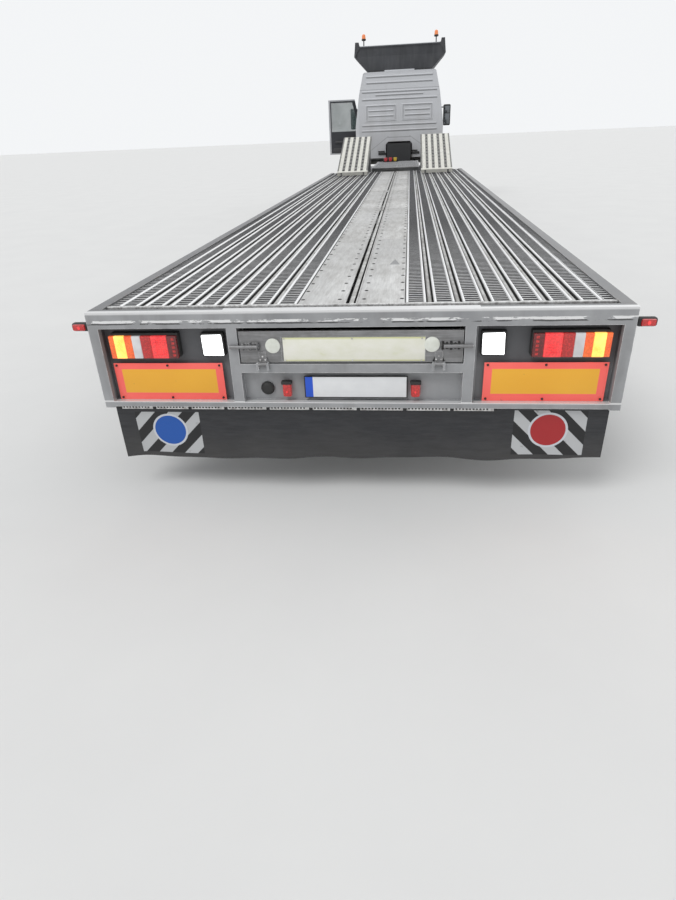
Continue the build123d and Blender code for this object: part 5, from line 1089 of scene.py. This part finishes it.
def add_tyre(piece, centre, radius, inner, width, rubber):
    """One tyre: beads, bulged walls, shoulders and a tread with four grooves."""
    bead, shoulder, tread = width * 0.36, width * 0.44, width * 0.40
    wall = radius - width * 0.10 - inner
    half = [(bead + (width / 2 - bead) * math.sin(math.pi / 2 * share), inner + wall * share / 1.9)
            for share in (0, 0.35, 0.7, 1)]
    half += [(width / 2 - (width / 2 - shoulder) * share ** 2, inner + wall * (0.526 + 0.474 * share))
             for share in (0.4, 0.75, 1)]
    half.append((tread, radius))
    for groove in (tread * 0.68, tread * 0.23):
        half += [(groove + 0.006, radius), (groove + 0.0035, radius - 0.011),
                 (groove - 0.0035, radius - 0.011), (groove - 0.006, radius)]
    profile = half + [(-along, reach) for along, reach in reversed(half)]
    piece.turned(profile + profile[:1], centre, "x", rubber, 56)
    for share in (-0.425, 0.425):
        lug = (share * width, 0, radius - width * 0.055)
        piece.take(around("shoulder_lugs", 48, lug, 0, centre, rubber, "MeshCube",
                          Size=(width * 0.045, 0.017, 0.016)))
    for share in (-0.455, 0, 0.455):
        sipe = (share * tread, 0, radius - 0.0004)
        piece.take(around("sipes", 72, sipe, 0, centre, hole_shade, "MeshCube",
                          Size=(tread * 0.26, 0.0022, 0.0014)))


rim_paint = steel_paint("rim_silver", (0.42, 0.425, 0.43), chips=0.3)
dress(rim_paint, *[name for name in nodes if "rim" in name])
trailer_tyre, trailer_nuts = (0.3985, 0.222, 0.235), (0.042, 0.121, 0.0155)
axles = (("tyre_rear", "nuts_rear", "wheel_rear", "trailer_rubber_rear", 3.350, (1.1275,), trailer_tyre,
          trailer_nuts),
         ("tyre_front", "nuts_front", "wheel_front", "trailer_rubber_front", 4.660, (1.1275,), trailer_tyre,
          trailer_nuts),
         ("steer_tyre", "steer_nuts", "steer_wheel", "steer_rubber", 15.100, (1.050,),
          (0.4475, 0.248, 0.265), (0.046, 0.124, 0.0165)),
         ("drive_tyres", "drive_nuts", "drive_wheel", "drive_rubber", 11.500, (1.075, 0.765),
          (0.4475, 0.248, 0.264), (-0.052, 0.124, 0.0165)))
for tyre_name, nuts_name, body, rubber_name, axle_y, places, tyre_size, nut_size in axles:
    radius, inner, width = tyre_size
    nut_x, nut_ring, nut_radius = nut_size
    rubber = tyre_rubber(rubber_name, axle_y, inner, radius)
    for side_name, side in (("left", -1), ("right", 1)):
        centres = [Vector((side * place, axle_y, radius)) for place in places]
        tyre = Piece(f"{tyre_name}_{side_name}_dressed")
        for centre in centres:
            add_tyre(tyre, centre, radius, inner, width, rubber)
        tyre.done(f"{body}_{side_name}", "tyre", f"{tyre_name}_{side_name}")
        nuts = Piece(f"{nuts_name}_{side_name}")
        nuts.take(around("wheel_nuts", 10, (side * nut_x, 0, nut_ring), side * math.pi / 2, centres[0],
                         pale_metal, "MeshCone", Vertices=6, Radius_Bottom=nut_radius,
                         Radius_Top=nut_radius * 0.8, Depth=0.018))
        nuts.done(f"{body}_{side_name}", "rim")


# Inside the cab: two sprung seats and a bunk, of foam under woven cloth with sewn seams, on dark
# moulded bases. Each seat stands on rubber bellows, and its head rest on two steel rods.
def cloth(name, tone, stripe=0.0):
    """Woven seat cloth: fine crossed threads, a soft stripe and a dusty nap."""
    fabric = Finish(name)
    x, y, z = fabric.axes()
    weave = ((x * 520).wrapped(1) + (y * 520 + z * 520).wrapped(1)) * 0.5
    body = fabric.mix(fabric.noise(18, 4).between(0.3, 0.7), *shades(tone, 0.75))
    body = fabric.mix((x.wrapped(0.06) < 0.012) * stripe, body, (0.16, 0.17, 0.20))
    return fabric.done(body, 0.88, 0.0, (weave + fabric.noise(9, 3), 0.0015, 0.4), Sheen_Weight=0.3)


def cushion(name, low, high, crown, material, squareness=5.0):
    """A stuffed closed form between two corners: rounded all over, and crowned on its broad faces."""
    low, high = Vector(low), Vector(high)
    middle = (low + high) / 2
    half = (high - low) / 2
    thin = min(range(3), key=lambda axis: half[axis])
    wide = [axis for axis in range(3) if axis != thin]
    piece = Piece(name)
    bmesh.ops.create_cube(piece.mesh, size=2)
    bmesh.ops.subdivide_edges(piece.mesh, edges=piece.mesh.edges, cuts=11, use_grid_fill=True)
    for corner in piece.mesh.verts:
        place = corner.co.copy()
        reach = sum(abs(value) ** squareness for value in place) ** (1 / squareness)
        fullness = (1 - place[wide[0]] ** 2) * (1 - place[wide[1]] ** 2)
        place /= reach
        swell = 1 + crown * fullness / half[thin] if abs(corner.co[thin]) > 0.99 else 1
        place[thin] *= swell / (1 + crown / half[thin])
        corner.co = Vector([middle[axis] + half[axis] * place[axis] for axis in range(3)])
    piece.paint(piece.mesh.faces, material)
    piece.done("cab", "trim_fabric", crease=1.2)


seat_fabric = cloth("seat_fabric", (0.060, 0.064, 0.078), 0.7)
bunk_fabric = cloth("bunk_fabric", (0.13, 0.125, 0.12))
trim_plastic = moulded("trim_plastic", (0.045, 0.046, 0.049), 0.55)
floor_top, seat_x, fold_rise = 1.120, 0.600, 0.018
seats = Piece("seats_and_bunk_dressed")
seats.pair((0.390, 15.36, floor_top), (0.810, 15.79, 1.300), trim_plastic, 0.020)
for number in range(5):
    pinch = 0.01 * (number % 2)
    fold_z = 1.300 + fold_rise * number
    fold_half = 0.165 + 2 * pinch
    seats.pair((seat_x - fold_half, 15.36 + pinch, fold_z),
               (seat_x + fold_half, 15.78 - pinch, fold_z + fold_rise), soft_black, 0.006)
seats.pair((0.365, 15.35, 1.390), (0.835, 15.84, 1.430), trim_plastic, 0.014)
seats.pair((0.355, 15.24, 1.44), (0.395, 15.34, 1.60), trim_plastic, 0.012)
seats.pair((0.805, 15.24, 1.44), (0.845, 15.34, 1.60), trim_plastic, 0.012)
for rod_x in (-0.67, -0.53, 0.53, 0.67):
    seats.tube([(rod_x, 15.29, 2.06), (rod_x, 15.285, 2.16)], 0.007, pale_metal)
seats.box((-0.955, 14.465, 1.500), (0.955, 15.078, 1.526), trim_plastic, 0.006)
seats.pair((0.900, 14.500, floor_top), (0.958, 15.040, 1.500), trim_plastic, 0.008)
seats.done("cab", "trim_fabric", "seats_and_bunk")
for side_name, middle in (("left", -seat_x), ("right", seat_x)):
    for part, half, low, high, crown, squareness in (
            ("seat_cushion", 0.245, (15.355, 1.425), (15.848, 1.578), 0.018, 5.0),
            ("seat_back", 0.228, (15.225, 1.540), (15.345, 2.090), 0.016, 5.0),
            ("head_rest", 0.130, (15.235, 2.110), (15.335, 2.295), 0.012, 4.0)):
        cushion(f"{part}_{side_name}", (middle - half, *low), (middle + half, *high), crown, seat_fabric,
                squareness)
cushion("bunk_mattress", (-0.945, 14.475, 1.522), (0.945, 15.070, 1.618), 0.006, bunk_fabric, 9.0)


# Dashboard: one grained moulding. Let into its face are three dials behind a hood, six slatted
# air vents and a control panel.
dash_face, dial_y, dial_z, vent_foot = 15.984, 15.990, 1.690, 1.664
trim = Piece("dashboard_trim")
trim.box((-0.86, dash_face, 1.735), (-0.34, 15.998, 1.752), soft_black, 0.004)
for dial_x, reach in ((-0.69, 0.052), (-0.51, 0.052), (-0.60, 0.030)):
    trim.turned([(-0.006, 0), (-0.006, reach * 0.94), (-0.010, reach), (0.0, reach), (0, 0)],
                (dial_x, dial_y, dial_z), "y", soft_black)
    trim.turned([(-0.0075, 0), (-0.0075, reach * 0.86), (-0.005, reach * 0.88), (-0.005, 0)],
                (dial_x, dial_y, dial_z), "y", white_disc)
vents = []
for vent_x in (-0.30, -0.10, 0.10, 0.30, 0.52, 0.74):
    trim.box((vent_x - 0.075, 15.983, 1.655), (vent_x + 0.075, 15.993, 1.725), soft_black, 0.004)
    vents += [(vent_x, 15.982, vent_foot + 0.013 * row) for row in range(5)]
trim.take(bars(vents, (0.138, 0.004, 0.005), trim_plastic, (0.5, 0, 0)))
trim.box((-0.12, dash_face, 1.545), (0.12, 15.994, 1.635), soft_black, 0.005)
trim.done("cab", "black_plastic")


# Grille and wipers: black slats with upright studs, set into the cab's front. Three wipers on
# turned spindles park over the foot of the screen.
slat_pitch = 0.060
grille = Piece("grille_slats")
slats = [(0, 16.484, 1.025 + slat_pitch * row) for row in range(6)]
grille.take(bars(slats, (1.155, 0.010, 0.006), black_steel))
studs = [(0.11 * column, 16.4815, 1.009 + slat_pitch * row) for column in range(-5, 6) for row in range(6)]
grille.take(bars(studs, (0.006, 0.006, 0.034), black_steel))
grille.done("cab", "black_plastic")

blade_y = 16.43345
wipers = Piece("wipers")
for root_x in (-0.62, -0.02, 0.58):
    wipers.turned([(-0.012, 0), (-0.012, 0.020), (0.010, 0.016), (0.010, 0)], (root_x, 16.455, 1.795), "y",
                  soft_black, 16)
    arm = [(root_x, 16.462, 1.795), (root_x + 0.18, 16.458, 1.822), (root_x + 0.30, 16.452, 1.850)]
    wipers.tube(arm, 0.008, soft_black, 8)
    wipers.box((root_x + 0.02, blade_y - 0.010, 1.842), (root_x + 0.50, blade_y + 0.008, 1.856),
               soft_black, 0.004)
wipers.done("cab", "black_plastic")


# Mirrors and head lamps: a large and a small mirror glass stand in each housing. A head lamp has
# two chromed bowls and an amber chamber under a clear cover, in a black frame.
mirror = Finish("mirror_glass")
mirror_glass = mirror.done(mirror.mix(mirror.noise(3), (0.13, 0.14, 0.15), (0.20, 0.21, 0.22)), 0.03, 1.0)
mirrors = Piece("mirror_faces")
for low_z, high_z in ((1.795, 2.045), (2.060, 2.225)):
    mirrors.pair((1.190, 16.1462, low_z), (1.332, 16.1515, high_z), mirror_glass, 0.002)
mirrors.done("cab", "black_plastic")

cover = Finish("clear_front")
clear_front = cover.done((0.55, 0.58, 0.60), 0.05, Alpha=cover.cells(60) * 0.06 + 0.20, Coat_Weight=1.0)
chrome = Finish("chrome_bowl")
chrome_bowl = chrome.done(chrome.mix(chrome.cells(90), (0.55, 0.56, 0.58), (0.80, 0.81, 0.83)), 0.12, 0.9)
amber_front = lens("amber_front", (0.90, 0.34, 0.03), 0.05)
head_lamps = Piece("head_lamps_dressed")
head_lamps.pair((0.722, 16.440, 0.522), (1.048, 16.476, 0.688), soft_black, 0.006)
head_lamps.pair((1.000, 16.474, 0.530), (1.044, 16.488, 0.680), amber_front, 0.005)
head_lamps.pair((0.728, 16.487, 0.528), (0.996, 16.4915, 0.682), clear_front, 0.0018)
for side in (-1, 1):
    for bowl_x, reach in ((0.8078, 0.062), (0.93168, 0.055)):
        bowl = [(0.002, 0), (0.0, reach * 0.25), (0.006, reach * 0.6), (0.011, reach), (0.008, reach),
                (-0.004, 0)]
        head_lamps.turned(bowl, (side * bowl_x, 16.474, 0.605), "y", chrome_bowl)
head_lamps.done("tractor", "head_lamp", "head_lamps")


# Bumper: one dark moulding with the lamp units let into it, and entry steps. Joints part it into
# panels, and a blank number plate sits in a black holder at its middle.
skin = Finish("bumper_skin")
x, y, z = skin.axes()
dust = skin.noise(4, 5).between(0.3, 0.8) * (z.between(0.80, 0.35) * 0.5 + 0.25)
on_face = y > 16.497
holder = (abs(x) < 0.266) * z.inside(0.578, 0.702) * on_face
blank = (abs(x) < 0.257) * z.inside(0.586, 0.694) * on_face
joints = z.inside(0.440, 0.446) + z.inside(0.722, 0.728) + abs(x).inside(0.690, 0.695)
tone = skin.coats(skin.mix(dust, (0.030, 0.031, 0.034), (0.17, 0.16, 0.145)),
                  (holder, (0.012, 0.012, 0.013)), (blank, (0.80, 0.81, 0.82)),
                  (joints * on_face * 0.7, (0.008, 0.008, 0.009)))
dress(skin.done(tone, dust * 0.3 + 0.46 - blank * 0.15, 0.0,
                (skin.cells(500) * 0.3 + holder - joints, 0.0010, 0.4)), "bumper")


# The screen sits in a black rubber seal. Each door has a pull handle in a dark shell outside,
# and an armrest and a pocket on its trim inside. The left one is built shut, then swung open.
screen_low, screen_high, screen_wide, screen_narrow = 1.820, 2.800, 0.930, 0.850
screen_foot, screen_lean = (16.451, 1.750), 0.2043
seal = Piece("screen_seal")
loop = [(px, screen_foot[0] - (pz - screen_foot[1]) * screen_lean, pz)
        for px, pz in ((-screen_wide, screen_low), (screen_wide, screen_low), (screen_narrow, screen_high),
                       (-screen_narrow, screen_high))]
for start, stop in zip(loop, loop[1:] + loop[:1]):
    seal.tube([start, stop], 0.013, soft_black)
    seal.turned([(-0.013, 0), (-0.009, 0.009), (0, 0.013), (0.009, 0.009), (0.013, 0)], start, "y",
                soft_black, 10)
seal.done("cab", "rubber")
for side_name, side, turn in (("left", -1, -swing), ("right", 1, 0)):
    trim = Piece(f"door_trim_{side_name}")
    for low, high, bevel, tint in (
            ((1.070, 15.275, 1.560), (1.0925, 15.475, 1.665), 0.006, soft_black),
            ((1.090, 15.290, 1.600), (1.109, 15.455, 1.628), 0.007, trim_plastic),
            ((1.006, 15.400, 1.430), (1.062, 15.960, 1.490), 0.016, trim_plastic),
            ((1.020, 15.340, 1.190), (1.062, 15.900, 1.310), 0.014, trim_plastic),
            ((1.022, 15.800, 1.560), (1.062, 15.950, 1.600), 0.008, soft_black)):
        trim.box(low, high, tint, bevel, side)
    bmesh.ops.rotate(trim.mesh, verts=trim.mesh.verts, cent=Vector((side * hinge_x, hinge_y, 0)),
                     matrix=Matrix.Rotation(turn, 3, "Z"))
    trim.done(f"door_{side_name}", "cab_paint")


# Fittings of tractor and trailer: steel straps and the filler cap of the tank, punched step
# treads, bolts along the guard rails, and amber side markers in rubber bases.
strap = [(-1.153, 0.60), (-1.153, 0.80), (-1.121, 0.872), (-1.055, 0.9035), (-0.60, 0.9035)]
strap_inside = [(px + (0.004 if px < -1.1 else 0), pz - (0.004 if pz > 0.85 else 0)) for px, pz in strap]
cap = [(0.900, 0), (0.900, 0.058), (0.914, 0.058), (0.918, 0.050), (0.930, 0.048), (0.933, 0.040),
       (0.933, 0)]
fittings = Piece("tractor_fittings")
for strap_y in (13.10, 13.62, 14.15):
    fittings.prism(strap + strap_inside[::-1], strap_y, strap_y + 0.05, black_steel)
fittings.turned(cap, (-0.98, 13.40, 0), "z", soft_black)
step_holes = [(side * (0.905 + 0.032 * column), 15.73 + 0.042 * row, level + 0.0006) for side in (-1, 1)
              for level in (0.410, 0.630) for column in range(8) for row in range(12)]
fittings.take(rounds(step_holes, 0.011, 0.0012, 8, hole_shade))
fittings.done("tractor", "chassis_grey")

markers = Piece("side_markers")
for marker_y in (0.85, 2.60, 5.10, 7.60, 9.90):
    markers.pair((1.2755, marker_y - 0.055, 0.893), (1.287, marker_y + 0.055, 0.933), soft_black, 0.005)
    markers.pair((1.285, marker_y - 0.045, 0.899), (1.297, marker_y + 0.045, 0.927), amber_front, 0.005)
side_bolts = [(side * 1.2562, 5.60 + 0.93 * post, level) for side in (-1, 1) for post in range(3)
              for level in (0.415, 0.485, 0.635, 0.705)]
markers.take(rounds(side_bolts, 0.009, 0.006, 6, black_steel, (0, math.pi / 2, 0)))
markers.done("trailer", "lamps")


# Neck of the trailer: a grey chequered sheet over its beams, screwed along its edges. At the front
# end a black bracket holds three cast palm couplings, painted red and yellow.
neck_rear, neck_top, tread_pitch, palm_y = 10.350, 1.060, 0.07, 12.690
neck_sheet = bare_metal("neck_sheet", (0.40, 0.405, 0.415), 0.42, grime=0.7)
dress(neck_sheet, "neck")
neck = Piece("neck_trim")
treads = [(side * (0.05 + 0.085 * column) + 0.0425 * (row % 2), neck_rear + 0.10 + tread_pitch * row,
           neck_top + 0.0012) for row in range(35) for column in range(5) for side in (-1, 1)]
for share, turn in ((treads[::2], 0.7), (treads[1::2], -0.7)):
    neck.take(bars(share, (0.044, 0.009, 0.0024), neck_sheet, (0, 0, turn)))
neck_screws = [(side * 0.452, neck_rear + 0.09 + 0.26 * number, neck_top + 0.002) for side in (-1, 1)
               for number in range(10)]
neck.take(rounds(neck_screws, 0.010, 0.004, 10, pale_metal))
neck.box((-0.34, palm_y, neck_top), (0.02, palm_y + 0.015, neck_top + 0.075), soft_black, 0.004)
coupling_red = steel_paint("coupling_red", (0.50, 0.02, 0.03), dust=0.25, chips=0.2, rust=0.1)
coupling_yellow = steel_paint("coupling_yellow", (0.62, 0.42, 0.02), dust=0.3, chips=0.2, rust=0.1)
palm = [(-0.052, 0), (-0.052, 0.026), (-0.044, 0.036), (-0.018, 0.038), (-0.012, 0.024), (0.002, 0.022),
        (0.002, 0)]
for palm_x, tint in ((-0.270, coupling_red), (-0.165, coupling_red), (-0.055, coupling_yellow)):
    neck.turned(palm, (palm_x, palm_y, neck_top + 0.046), "y", tint, 20)
    neck.box((palm_x - 0.040, 12.642, neck_top + 0.060), (palm_x + 0.040, 12.672, neck_top + 0.092),
             tint, 0.008)
neck.done("trailer", "galvanised_frame")
